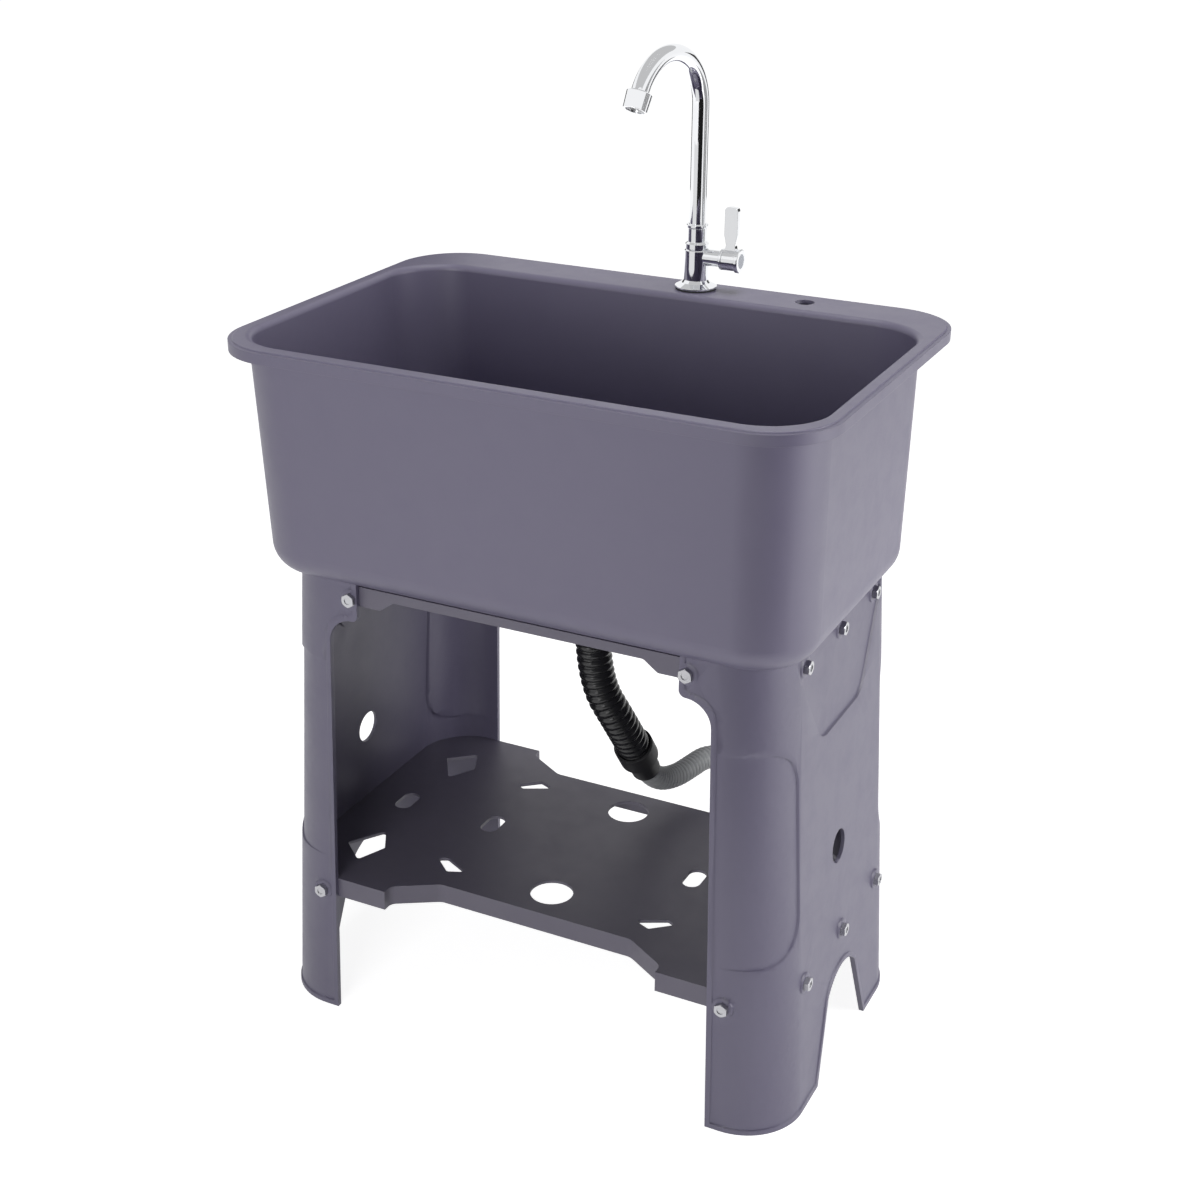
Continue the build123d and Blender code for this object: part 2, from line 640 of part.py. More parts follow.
# ---- shelf -------------------------------------------------------------------------------
def shelf_outline(inset):
    """The shelf seen from above: full width at both ends and a waist with S-curves."""
    waist = SHELF_WAIST_HALF - inset
    with BuildSketch(Plane.XY.offset(SHELF_TOP - SHELF_DEPTH)) as outline:
        Rectangle(FOOT_LENGTH, FOOT_WIDTH)
        for edge in (-1, 1):
            with BuildSketch(mode=Mode.PRIVATE) as bay:
                with BuildLine():
                    FilletPolyline(
                        (-SHELF_SHOULDER - inset, edge * FOOT_WIDTH),
                        (-SHELF_SHOULDER - inset, edge * (waist + SHELF_BAY_STEP)),
                        (-SHELF_WAIST_END - inset, edge * waist),
                        (SHELF_WAIST_END + inset, edge * waist),
                        (SHELF_SHOULDER + inset, edge * (waist + SHELF_BAY_STEP)),
                        (SHELF_SHOULDER + inset, edge * FOOT_WIDTH),
                        radius=[
                            0, SHELF_BAY_RADIUS, SHELF_WAIST_RADIUS,
                            SHELF_WAIST_RADIUS, SHELF_BAY_RADIUS, 0,
                        ],
                        close=True,
                    )
                make_face()
            add(bay.sketch, mode=Mode.SUBTRACT)
    return outline.sketch


with BuildPart() as shelf:
    extrude(shelf_outline(0), amount=SHELF_DEPTH)
    add(stand_solid(PANEL_WALL), mode=Mode.INTERSECT)
    with BuildPart(mode=Mode.PRIVATE) as hollow:
        extrude(shelf_outline(SHELF_PLATE), amount=SHELF_DEPTH - SHELF_PLATE)
        add(stand_solid(PANEL_WALL + SHELF_PLATE), mode=Mode.INTERSECT)
    add(hollow.part, mode=Mode.SUBTRACT)
    # stiffening ribs under the plate
    with BuildPart(mode=Mode.PRIVATE) as ribs:
        with BuildSketch(Plane.XY.offset(SHELF_TOP - SHELF_PLATE - SHELF_RIB_DEPTH)):
            with Locations((0, -SHELF_RIB_Y), (0, SHELF_RIB_Y)):
                Rectangle(FOOT_LENGTH, SHELF_RIB)
            for rib_x in SHELF_RIB_XS:
                with Locations((-rib_x, 0), (rib_x, 0)):
                    Rectangle(SHELF_RIB, FOOT_WIDTH)
        extrude(amount=SHELF_RIB_DEPTH)
        add(hollow.part, mode=Mode.INTERSECT)
    add(ribs.part)
    # round, long and wedge-shaped holes, alike in all four quarters
    with BuildSketch(Plane.XY.offset(SHELF_TOP)) as shelf_holes:
        with Locations((0, -SHELF_ROUND_HOLE_Y), (0, SHELF_ROUND_HOLE_Y)):
            Circle(SHELF_ROUND_HOLE / 2)
        for slot_x in SHELF_SLOT_XS:
            with Locations((-slot_x, 0), (slot_x, 0)):
                SlotOverall(SHELF_SLOT_LENGTH, SHELF_SLOT_WIDTH, rotation=90)
        with BuildSketch(mode=Mode.PRIVATE) as wedge_holes:
            for from_x, corners in ((SHELF_SHOULDER, WEDGE_INNER), (FOOT_LENGTH / 2, WEDGE_OUTER)):
                with BuildLine():
                    Polyline(*[(from_x + x, -SHELF_ROUND_HOLE_Y - y) for x, y in corners], close=True)
                make_face()
            fillet(wedge_holes.vertices(), WEDGE_RADIUS)
        for mirror_plane in (Plane.XZ, Plane.YZ):
            add(wedge_holes.sketch)
            add(wedge_holes.sketch.mirror(mirror_plane))
        add(wedge_holes.sketch.mirror(Plane.XZ).mirror(Plane.YZ))
    extrude(amount=-SHELF_PLATE, mode=Mode.SUBTRACT)
    add(nut_pads(SHELF_SIDE_BOLTS + SHELF_FRONT_BOLTS, NUT_PAD + SHELF_PLATE / 2))
    add(bolt_bores(SHELF_SIDE_BOLTS + SHELF_FRONT_BOLTS), mode=Mode.SUBTRACT)
shelf.part.label = "shelf"
export_step(shelf.part, "parts/shelf.step")


# ---- bolts and nuts ----------------------------------------------------------------------
for group, places in (
    ("bowl", BOWL_BOLTS),
    ("shelf_side", SHELF_SIDE_BOLTS),
    ("rail", RAIL_BOLTS),
    ("shelf_front", SHELF_FRONT_BOLTS),
):
    with BuildPart() as bolts:
        for seat, direction, grip in places:
            add(hex_bolt(seat, direction, grip))
    bolts.part.label = group + "_bolts"
    export_step(bolts.part, "parts/" + group + "_bolts.step")
    with BuildPart() as nuts:
        for seat, direction, grip in places:
            nut_seat = Vector(*seat) + Vector(*direction) * grip
            add(hex_nut(nut_seat, direction))
    nuts.part.label = group + "_nuts"
    export_step(nuts.part, "parts/" + group + "_nuts.step")


# ---- drain: strainer body, seal, lock nut, basket and hose nut -----------------------------
SEAT_Z = BOWL_BOTTOM + BOWL_WALL - RECESS_DEPTH
PAD_Z = BOWL_BOTTOM - RECESS_DEPTH
BARREL = DRAIN_HOLE - 2 * DRAIN_FIT
BARREL_END = SEAT_Z - BARREL_LENGTH
OUTLET_END = BARREL_END - OUTLET_LENGTH

with BuildPart() as drain_body:
    with BuildSketch(Plane.XZ) as drain_profile:
        with BuildLine():
            Polyline(
                (OUTLET_BORE / 2, OUTLET_END),
                (OUTLET / 2, OUTLET_END),
                (OUTLET / 2, BARREL_END),
                (BARREL / 2 - 3, BARREL_END),
                (BARREL / 2, BARREL_END + 3),
                (BARREL / 2, SEAT_Z),
                (FLANGE / 2, SEAT_Z),
                (FLANGE / 2 - 1, SEAT_Z + FLANGE_THICKNESS - 1),
                (FLANGE / 2 - 4, SEAT_Z + FLANGE_THICKNESS),
                (BARREL / 2, SEAT_Z + FLANGE_THICKNESS - 1),
                (BARREL / 2 - BARREL_WALL, SEAT_Z - 3),
                (BARREL / 2 - BARREL_WALL, BARREL_END + BARREL_FLOOR + 2),
                (OUTLET_BORE / 2, BARREL_END + BARREL_FLOOR),
                close=True,
            )
        make_face()
    revolve(axis=Axis.Z)
drain_body.part.label = "drain_body"
export_step(drain_body.part, "parts/drain_body.step")

with BuildPart() as drain_gasket:
    with BuildSketch(Plane.XY.offset(PAD_Z - GASKET_THICKNESS)):
        Circle(GASKET / 2)
        Circle(BARREL / 2, mode=Mode.SUBTRACT)
    extrude(amount=GASKET_THICKNESS)
drain_gasket.part.label = "drain_gasket"
export_step(drain_gasket.part, "parts/drain_gasket.step")

with BuildPart() as drain_lock_nut:
    with BuildSketch(Plane.XY.offset(PAD_Z - GASKET_THICKNESS - LOCK_NUT_HEIGHT)):
        Circle(LOCK_NUT / 2 - 3)
        with PolarLocations(LOCK_NUT / 2 - 4, LOCK_NUT_LUGS):
            Rectangle(8, 9)
        Circle(BARREL / 2, mode=Mode.SUBTRACT)
    extrude(amount=LOCK_NUT_HEIGHT)
drain_lock_nut.part.label = "drain_lock_nut"
export_step(drain_lock_nut.part, "parts/drain_lock_nut.step")

BASKET_R = BARREL / 2 - BARREL_WALL - BASKET_FIT
BASKET_TOP = SEAT_Z - 4
BASKET_FLOOR = BASKET_TOP - BASKET_DEPTH
with BuildPart() as strainer_basket:
    with BuildSketch(Plane.XZ):
        with BuildLine():
            Polyline(
                (0, BASKET_FLOOR),
                (BASKET_R - 4, BASKET_FLOOR),
                (BASKET_R, BASKET_TOP - 4),
                (BASKET_R, BASKET_TOP),
                (BASKET_R - BASKET_WALL, BASKET_TOP),
                (BASKET_R - BASKET_WALL - 4, BASKET_FLOOR + BASKET_WALL),
                (0, BASKET_FLOOR + BASKET_WALL),
                close=True,
            )
        make_face()
    revolve(axis=Axis.Z)
    with BuildSketch(Plane.XY.offset(BASKET_FLOOR)):
        with PolarLocations(BASKET_R - 9, 10):
            Circle(BASKET_HOLE / 2)
    extrude(amount=BASKET_WALL, mode=Mode.SUBTRACT)
    with Locations((0, 0, BASKET_FLOOR)):
        Cylinder(2.5, BASKET_KNOB_HEIGHT, align=(Align.CENTER, Align.CENTER, Align.MIN))
    with Locations((0, 0, BASKET_FLOOR + BASKET_KNOB_HEIGHT)):
        Cylinder(BASKET_KNOB / 2, 3, align=(Align.CENTER, Align.CENTER, Align.MIN))
strainer_basket.part.label = "strainer_basket"
export_step(strainer_basket.part, "parts/strainer_basket.step")


# ---- drain hose --------------------------------------------------------------------------
HOSE_TOP = OUTLET_END
HOSE_NUT_TOP = OUTLET_END + HOSE_NUT_HEIGHT / 2
with BuildPart() as hose_nut:
    with BuildSketch(Plane.XY.offset(HOSE_NUT_TOP - HOSE_NUT_HEIGHT)):
        Circle(HOSE_A / 2 + HOSE_NUT_WALL)
        with PolarLocations(HOSE_A / 2 + HOSE_NUT_WALL, HOSE_NUT_GRIPS):
            Circle(HOSE_NUT_GRIP)
    extrude(amount=HOSE_NUT_HEIGHT)
    with Locations((0, 0, HOSE_NUT_TOP)):
        CounterBoreHole(HOSE_A / 2, OUTLET / 2, HOSE_NUT_HEIGHT / 2)
    with BuildSketch(Plane.XY.offset(HOSE_NUT_TOP - HOSE_NUT_HEIGHT)):
        Circle(HOSE_A / 2)
    extrude(amount=HOSE_NUT_HEIGHT / 2, mode=Mode.SUBTRACT)
hose_nut.part.label = "hose_nut"
export_step(hose_nut.part, "parts/hose_nut.step")


def rounded_path(points):
    """Straight runs joined by tangent arcs, each as large as its two runs allow."""
    radii = []
    for before, corner, after in zip(points, points[1:], points[2:]):
        run_in = Vector(*corner) - Vector(*before)
        run_out = Vector(*after) - Vector(*corner)
        turn = radians(run_in.get_angle(run_out))
        radii.append(HOSE_REACH * min(run_in.length, run_out.length) / tan(turn / 2))
    print("arc radii:", [round(radius, 1) for radius in radii])
    with BuildLine() as path:
        FilletPolyline(*points, radius=radii)
    return path.wires()[0]


def ring_plane(path, length):
    """A plane across the path, with its X axis kept steady along the route."""
    heading = path.tangent_at(length, position_mode=PositionMode.LENGTH)
    steady = Vector(1, -0.45, 0)
    steady = steady - heading * steady.dot(heading)
    return Plane(path.position_at(length, position_mode=PositionMode.LENGTH), steady, heading)


def ribbed_hose(points, crest, root, bore, pitch):
    """A hose with ribs of one pitch along its route."""
    path = rounded_path(points)
    count = round(path.length / pitch)
    step = path.length / count
    ribs = []
    for index in range(count):
        rings = []
        for share, radius in ((0, root / 2), (0.25, crest / 2), (0.75, crest / 2), (1, root / 2)):
            with BuildSketch(ring_plane(path, step * (index + share))) as ring:
                Circle(radius)
            rings.append(ring.sketch)
        ribs.append(loft(rings, ruled=True, mode=Mode.PRIVATE))
    with BuildPart() as hose:
        add(ribs)
        with BuildSketch(ring_plane(path, 0)) as bore_ring:
            Circle(bore / 2)
        sweep(bore_ring.sketch, path=path, mode=Mode.SUBTRACT)
    print("ribs:", count, "length:", round(path.length, 1))
    return hose.part


HOSE_A_ROUTE = [
    (0, 0, HOSE_TOP),
    (0, 0, HOSE_TOP - 70.5),
    (27, 20, HOSE_TOP - 132.5),
    (27, 62, HOSE_TOP - 188.5),
]
hose_a_end = Vector(*HOSE_A_ROUTE[-1])
hose_heading = (hose_a_end - Vector(*HOSE_A_ROUTE[-2])).normalized()
hose_b_start = hose_a_end + hose_heading * SLEEVE_SHOULDER
HOSE_B_ROUTE = [
    tuple(hose_b_start),
    tuple(hose_b_start + hose_heading * 51),
    (43, 142, 193),
    (63, 184, 174),
    (84, 214, 142),
    (98, 231, 100),
    (98, 231, 50),
]

drain_hose_upper = ribbed_hose(HOSE_A_ROUTE, HOSE_A, HOSE_A_ROOT, HOSE_A_BORE, HOSE_A_PITCH)
drain_hose_upper.label = "drain_hose_upper"
export_step(drain_hose_upper, "parts/drain_hose_upper.step")

drain_hose_lower = ribbed_hose(HOSE_B_ROUTE, HOSE_B, HOSE_B_ROOT, HOSE_B_BORE, HOSE_B_PITCH)
drain_hose_lower.label = "drain_hose_lower"
export_step(drain_hose_lower, "parts/drain_hose_lower.step")

# sleeve joining both hoses: two sockets and a shoulder between the hose ends
with BuildPart() as hose_sleeve:
    wide = HOSE_A / 2 + HOSE_FIT
    narrow = HOSE_B / 2 + HOSE_FIT
    with BuildSketch(Plane.XZ) as sleeve_profile:
        with BuildLine():
            Polyline(
                (wide, -SLEEVE_SOCKET_A),
                (wide + SLEEVE_WALL, -SLEEVE_SOCKET_A),
                (wide + SLEEVE_WALL, 0),
                (narrow + SLEEVE_WALL, SLEEVE_SHOULDER),
                (narrow + SLEEVE_WALL, SLEEVE_SHOULDER + SLEEVE_SOCKET_B),
                (narrow, SLEEVE_SHOULDER + SLEEVE_SOCKET_B),
                (narrow, SLEEVE_SHOULDER),
                (HOSE_B_BORE / 2, SLEEVE_SHOULDER),
                (HOSE_A_BORE / 2, 0),
                (wide, 0),
                close=True,
            )
        make_face()
    revolve(axis=Axis.Z)
hose_sleeve_part = hose_sleeve.part.moved(Plane(origin=hose_a_end, z_dir=hose_heading).location)
hose_sleeve_part.label = "hose_sleeve"
export_step(hose_sleeve_part, "parts/hose_sleeve.step")

# smooth cuff on the free end
with BuildPart() as hose_end_cuff:
    hose_b_end = Vector(*HOSE_B_ROUTE[-1])
    with BuildSketch(Plane.XY.offset(hose_b_end.Z)):
        with Locations((hose_b_end.X, hose_b_end.Y)):
            Circle(HOSE_B / 2 + END_CUFF_WALL)
            Circle(HOSE_B_BORE / 2, mode=Mode.SUBTRACT)
    extrude(amount=-END_CUFF_LENGTH)
hose_end_cuff.part.label = "hose_end_cuff"
export_step(hose_end_cuff.part, "parts/hose_end_cuff.step")


# ---- tap: body, seals, mounting nut, swivel spout and lever valve --------------------------
with BuildPart() as tap_base_seal:
    with BuildSketch(Plane.XY.offset(RIM_HEIGHT)):
        with Locations((TAP_X, DECK_HOLE_Y)):
            Circle(BASE_FLANGE / 2 - 1)
            Circle(SHANK / 2 + RUNNING_FIT, mode=Mode.SUBTRACT)
    extrude(amount=BASE_SEAL)
tap_base_seal.part.label = "tap_base_seal"
export_step(tap_base_seal.part, "parts/tap_base_seal.step")

UNDER_DECK = RIM_HEIGHT - RIM_PLATE
MOUNT_NUT_Z = UNDER_DECK - MOUNT_WASHER_THICKNESS - MOUNT_NUT_HEIGHT
RELIEF_TOP = MOUNT_NUT_Z - THREAD_RELIEF_DROP
SOCKET_FLOOR = TAP_BODY_TOP - SPOUT_TAIL
STUB_X = TAP_X + VALVE_STUB_END
tap_axis = Axis((TAP_X, DECK_HOLE_Y, 0), (0, 0, 1))
with BuildPart() as tap_body:
    with BuildSketch(Plane.XZ.offset(-DECK_HOLE_Y)):
        with BuildLine():
            Polyline(
                (TAP_X, TAP_BASE_Z - SHANK_LENGTH),
                (TAP_X + SHANK / 2, TAP_BASE_Z - SHANK_LENGTH),
                (TAP_X + SHANK / 2, RELIEF_TOP - THREAD_RELIEF_WIDTH),
                (TAP_X + THREAD_RELIEF / 2, RELIEF_TOP - THREAD_RELIEF_WIDTH),
                (TAP_X + THREAD_RELIEF / 2, RELIEF_TOP),
                (TAP_X + SHANK / 2, RELIEF_TOP),
                (TAP_X + SHANK / 2, TAP_BASE_Z),
                (TAP_X + BASE_FLANGE / 2, TAP_BASE_Z),
                (TAP_X + BASE_FLANGE / 2, TAP_BASE_Z + BASE_FLANGE_EDGE),
                (TAP_X + TAP_BODY / 2 + BASE_FLARE, TAP_BASE_Z + BASE_FLANGE_HEIGHT),
                (TAP_X + TAP_BODY / 2, TAP_BASE_Z + BASE_FLANGE_HEIGHT + BASE_FLARE_HEIGHT),
                (TAP_X + TAP_BODY / 2, TAP_BODY_TOP - TAP_BODY_CHAMFER),
                (TAP_X + TAP_BODY / 2 - TAP_BODY_CHAMFER, TAP_BODY_TOP),
                (TAP_X, TAP_BODY_TOP),
                close=True,
            )
        make_face()
    revolve(axis=tap_axis)
    add(across((TAP_X, DECK_HOLE_Y, VALVE_Z), VALVE_STUB / 2, VALVE_STUB_END, (1, 0, 0)))
    # waterways: inlet bore, spout socket and valve bore
    with Locations((TAP_X, DECK_HOLE_Y, TAP_BODY_TOP)):
        Hole(SPOUT_BORE / 2 - 1.5)
        Hole(SPOUT / 2 + RUNNING_FIT, depth=SPOUT_TAIL)
    with BuildSketch(Plane.XY.offset(TAP_BODY_TOP - O_RING_DROP)):
        with Locations((TAP_X, DECK_HOLE_Y)):
            Circle(SPOUT / 2 + RUNNING_FIT + O_RING_SECTION)
    extrude(amount=O_RING_SECTION, mode=Mode.SUBTRACT)
    bore_start = (STUB_X - STEM_DEPTH, DECK_HOLE_Y, VALVE_Z)
    add(across(bore_start, STEM / 2 + RUNNING_FIT, STEM_DEPTH, (1, 0, 0)), mode=Mode.SUBTRACT)
tap_body.part.label = "tap_body"
export_step(tap_body.part, "parts/tap_body.step")

with BuildPart() as tap_mount_washer:
    with BuildSketch(Plane.XY.offset(UNDER_DECK - MOUNT_WASHER_THICKNESS)):
        with Locations((TAP_X, DECK_HOLE_Y)):
            Circle(MOUNT_WASHER / 2)
            Circle(SHANK / 2 + RUNNING_FIT, mode=Mode.SUBTRACT)
    extrude(amount=MOUNT_WASHER_THICKNESS)
tap_mount_washer.part.label = "tap_mount_washer"
export_step(tap_mount_washer.part, "parts/tap_mount_washer.step")

with BuildPart() as tap_mount_nut:
    with BuildSketch(Plane.XY.offset(MOUNT_NUT_Z)):
        with Locations((TAP_X, DECK_HOLE_Y)):
            RegularPolygon(MOUNT_NUT / 2, 6, major_radius=False)
            Circle(SHANK / 2, mode=Mode.SUBTRACT)
    extrude(amount=MOUNT_NUT_HEIGHT)
tap_mount_nut.part.label = "tap_mount_nut"
export_step(tap_mount_nut.part, "parts/tap_mount_nut.step")

# collar nut that holds the spout in the body
COLLAR_FOOT = TAP_BODY_TOP
with BuildPart() as spout_collar:
    with BuildSketch(Plane.XZ.offset(-DECK_HOLE_Y)):
        with BuildLine():
            Polyline(
                (TAP_X + SPOUT / 2 + RUNNING_FIT, COLLAR_FOOT),
                (TAP_X + COLLAR_RING / 2, COLLAR_FOOT),
                (TAP_X + COLLAR_RING / 2, COLLAR_FOOT + COLLAR_RING_HEIGHT - COLLAR_RING_EDGE),
                (TAP_X + COLLAR / 2, COLLAR_FOOT + COLLAR_RING_HEIGHT + COLLAR_RING_EDGE),
                (TAP_X + COLLAR / 2, COLLAR_TOP),
                (TAP_X + SPOUT / 2 + RUNNING_FIT, COLLAR_TOP),
                close=True,
            )
        make_face()
    revolve(axis=tap_axis)
spout_collar.part.label = "spout_collar"
export_step(spout_collar.part, "parts/spout_collar.step")

# spout: straight riser, round bend towards the bowl, with a ring that rides on the collar
swing = Vector(-sin(radians(SPOUT_SWING)), -cos(radians(SPOUT_SWING)), 0)
SPOUT_FOOT = SOCKET_FLOOR + SPOUT_FOOT_GAP
riser_foot = Vector(TAP_X, DECK_HOLE_Y, SPOUT_FOOT)
bend_start = Vector(TAP_X, DECK_HOLE_Y, SPOUT_BEND_START)
bend_plane = Plane(origin=bend_start, x_dir=swing, z_dir=swing.cross(Vector(0, 0, 1)))
with BuildPart() as spout:
    with BuildLine(bend_plane) as spout_path:
        riser = Line((0, SPOUT_FOOT - SPOUT_BEND_START), (0, 0))
        bend = JernArc(riser @ 1, (0, 1), SPOUT_BEND_RADIUS, -SPOUT_BEND_ANGLE)
        nose = Line(bend @ 1, bend @ 1 + (bend % 1) * SPOUT_NOSE)
    with BuildSketch(Plane.XY.offset(SPOUT_FOOT)):
        with Locations((TAP_X, DECK_HOLE_Y)):
            Circle(SPOUT / 2)
            Circle(SPOUT_BORE / 2, mode=Mode.SUBTRACT)
    sweep(path=spout_path.wires()[0])
    with BuildSketch(Plane.XY.offset(COLLAR_TOP + RIDE_GAP)):
        with Locations((TAP_X, DECK_HOLE_Y)):
            Circle(SPOUT_RING / 2)
            Circle(SPOUT / 2 - SPOUT_RING_BITE, mode=Mode.SUBTRACT)
    extrude(amount=SPOUT_RING_HEIGHT)
    fillet(spout.edges().filter_by(GeomType.CIRCLE).filter_by(
        lambda edge: abs(edge.radius - SPOUT_RING / 2) < 0.01), SPOUT_RING_EDGE)
spout.part.label = "spout"
export_step(spout.part, "parts/spout.step")

with BuildPart() as spout_o_ring:
    ring_radius = SPOUT / 2 + RUNNING_FIT + O_RING_SECTION / 2
    with Locations((TAP_X, DECK_HOLE_Y, TAP_BODY_TOP - O_RING_DROP + O_RING_SECTION / 2)):
        Torus(ring_radius, O_RING_SECTION / 2)
spout_o_ring.part.label = "spout_o_ring"
export_step(spout_o_ring.part, "parts/spout_o_ring.step")

# aerator on the spout's nose, with its perforated disc
nose_plane = Plane(origin=bend @ 1, z_dir=bend % 1)
with BuildPart() as aerator_housing:
    with BuildSketch(Plane.XZ):
        with BuildLine():
            Polyline(
                (SPOUT / 2, 0),
                (AERATOR_BACK / 2 - 1, 0),
                (AERATOR_BACK / 2, 1),
                (AERATOR_FRONT / 2, AERATOR_LENGTH),
                (AERATOR_FRONT / 2 - AERATOR_WALL, AERATOR_LENGTH),
                (AERATOR_FRONT / 2 - AERATOR_WALL, SPOUT_NOSE),
                (SPOUT / 2, SPOUT_NOSE),
                close=True,
            )
        make_face()
    revolve(axis=Axis.Z)
aerator_part = aerator_housing.part.moved(nose_plane.location)
aerator_part.label = "aerator_housing"
export_step(aerator_part, "parts/aerator_housing.step")

with BuildPart() as aerator_mesh:
    with BuildSketch(Plane.XY.offset(AERATOR_LENGTH - MESH_INSET)):
        Circle(AERATOR_FRONT / 2 - AERATOR_WALL)
        with HexLocations(MESH_PITCH / 2, 5, 5):
            Circle(MESH_HOLE / 2, mode=Mode.SUBTRACT)
    extrude(amount=-MESH_THICKNESS)
aerator_mesh_part = aerator_mesh.part.moved(nose_plane.location)
aerator_mesh_part.label = "aerator_mesh"
export_step(aerator_mesh_part, "parts/aerator_mesh.step")

# lever valve: bonnet on the stub, turning stem, lever with flat blade, cap and index disc
HUB_X = STUB_X + BONNET_LENGTH + BONNET_GAP
CAP_X = HUB_X + LEVER_WIDTH
with BuildPart() as valve_bonnet:
    add(across((STUB_X, DECK_HOLE_Y, VALVE_Z), BONNET / 2, BONNET_LENGTH, (1, 0, 0)))
    chamfer(valve_bonnet.edges().filter_by(GeomType.CIRCLE), BONNET_CHAMFER)
    stem_bore = STEM / 2 + RUNNING_FIT
    add(across((STUB_X, DECK_HOLE_Y, VALVE_Z), stem_bore, BONNET_LENGTH, (1, 0, 0)), mode=Mode.SUBTRACT)
valve_bonnet.part.label = "valve_bonnet"
export_step(valve_bonnet.part, "parts/valve_bonnet.step")

with BuildPart() as valve_stem:
    stem_start = STUB_X - STEM_DEPTH + BONNET_GAP
    add(across((stem_start, DECK_HOLE_Y, VALVE_Z), STEM / 2, CAP_X - stem_start, (1, 0, 0)))
valve_stem.part.label = "valve_stem"
export_step(valve_stem.part, "parts/valve_stem.step")

with BuildPart() as lever:
    add(across((HUB_X, DECK_HOLE_Y, VALVE_Z), HUB / 2, LEVER_WIDTH, (1, 0, 0)))
    with BuildSketch(Plane.XZ.offset(-DECK_HOLE_Y)):
        with BuildLine():
            middle_x = HUB_X + LEVER_WIDTH / 2
            FilletPolyline(
                (middle_x - LEVER_WIDTH / 2, VALVE_Z),
                (middle_x - LEVER_NECK / 2, LEVER_NECK_Z),
                (middle_x - LEVER_WIDTH / 2, LEVER_SHOULDER_Z),
                (middle_x - LEVER_WIDTH / 2, LEVER_TOP),
                (middle_x + LEVER_WIDTH / 2, LEVER_TOP),
                (middle_x + LEVER_WIDTH / 2, LEVER_SHOULDER_Z),
                (middle_x + LEVER_NECK / 2, LEVER_NECK_Z),
                (middle_x + LEVER_WIDTH / 2, VALVE_Z),
                radius=[
                    0, LEVER_NECK_RADIUS, LEVER_SHOULDER_RADIUS, LEVER_TIP_RADIUS,
                    LEVER_TIP_RADIUS, LEVER_SHOULDER_RADIUS, LEVER_NECK_RADIUS, 0,
                ],
                close=True,
            )
        make_face()
    extrude(amount=LEVER_THICKNESS / 2, both=True)
    stem_hole = (HUB_X, DECK_HOLE_Y, VALVE_Z)
    add(across(stem_hole, STEM / 2, LEVER_WIDTH, (1, 0, 0)), mode=Mode.SUBTRACT)
lever.part.label = "lever"
export_step(lever.part, "parts/lever.step")

with BuildPart() as lever_cap:
    add(across((CAP_X, DECK_HOLE_Y, VALVE_Z), CAP / 2, CAP_LENGTH, (1, 0, 0)))
    fillet(lever_cap.faces().sort_by(Axis.X)[-1].edges(), CAP_EDGE)
    disc_seat = (CAP_X + CAP_LENGTH - DISC_DEPTH, DECK_HOLE_Y, VALVE_Z)
    add(across(disc_seat, DISC / 2, DISC_DEPTH, (1, 0, 0)), mode=Mode.SUBTRACT)
lever_cap.part.label = "lever_cap"
export_step(lever_cap.part, "parts/lever_cap.step")

with BuildPart() as index_disc:
    add(across(disc_seat, DISC / 2, DISC_DEPTH, (1, 0, 0)))
index_disc.part.label = "index_disc"
export_step(index_disc.part, "parts/index_disc.step")
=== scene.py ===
import math

import bmesh
import bpy
from mathutils import Matrix, Vector


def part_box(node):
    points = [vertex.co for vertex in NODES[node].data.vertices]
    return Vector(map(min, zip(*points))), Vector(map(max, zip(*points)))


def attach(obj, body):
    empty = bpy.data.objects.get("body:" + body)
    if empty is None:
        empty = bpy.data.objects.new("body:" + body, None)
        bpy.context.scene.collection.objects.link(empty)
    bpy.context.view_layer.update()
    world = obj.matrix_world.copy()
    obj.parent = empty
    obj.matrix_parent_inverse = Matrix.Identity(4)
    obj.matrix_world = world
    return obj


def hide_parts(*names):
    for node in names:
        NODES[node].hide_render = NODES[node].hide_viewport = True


bl_info = {
    "name": "Utility Laundry Sink",
    "version": (1, 0, 0),
    "blender": (4, 5, 0),
    "location": "3D View > Sidebar > Sink",
    "description": "Dresses the sink: moulded plastic, plated metal, ribbed hoses and stage",
    "category": "Object",
}

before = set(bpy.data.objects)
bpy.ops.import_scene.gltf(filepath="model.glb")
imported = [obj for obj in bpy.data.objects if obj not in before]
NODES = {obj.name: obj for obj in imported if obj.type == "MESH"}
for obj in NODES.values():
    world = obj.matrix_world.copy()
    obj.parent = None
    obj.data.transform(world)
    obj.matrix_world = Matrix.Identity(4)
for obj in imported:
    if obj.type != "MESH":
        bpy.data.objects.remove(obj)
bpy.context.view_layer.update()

SINK_BODY = "sink"
TUB = ("basin",)
PANELS = ("left_side_panel", "right_side_panel")
RAILS_AND_SHELF = ("front_rail", "rear_rail", "shelf")
SIDE_BOLTS = ("bowl_bolts", "shelf_side_bolts")
FRONT_BOLTS = ("rail_bolts", "shelf_front_bolts")
NUTS = ("bowl_nuts", "shelf_side_nuts", "rail_nuts", "shelf_front_nuts")
CHROME = (
    "tap_body", "spout_collar", "spout", "aerator_housing", "valve_bonnet",
    "valve_stem", "lever", "lever_cap", "tap_mount_nut",
)
RUBBER = (
    "drain_gasket", "tap_base_seal", "tap_mount_washer", "spout_o_ring",
    "hose_sleeve", "hose_end_cuff",
)
WHITE_PARTS = ("drain_body", "drain_lock_nut", "hose_nut")
STEEL_PARTS = ("strainer_basket", "aerator_mesh")

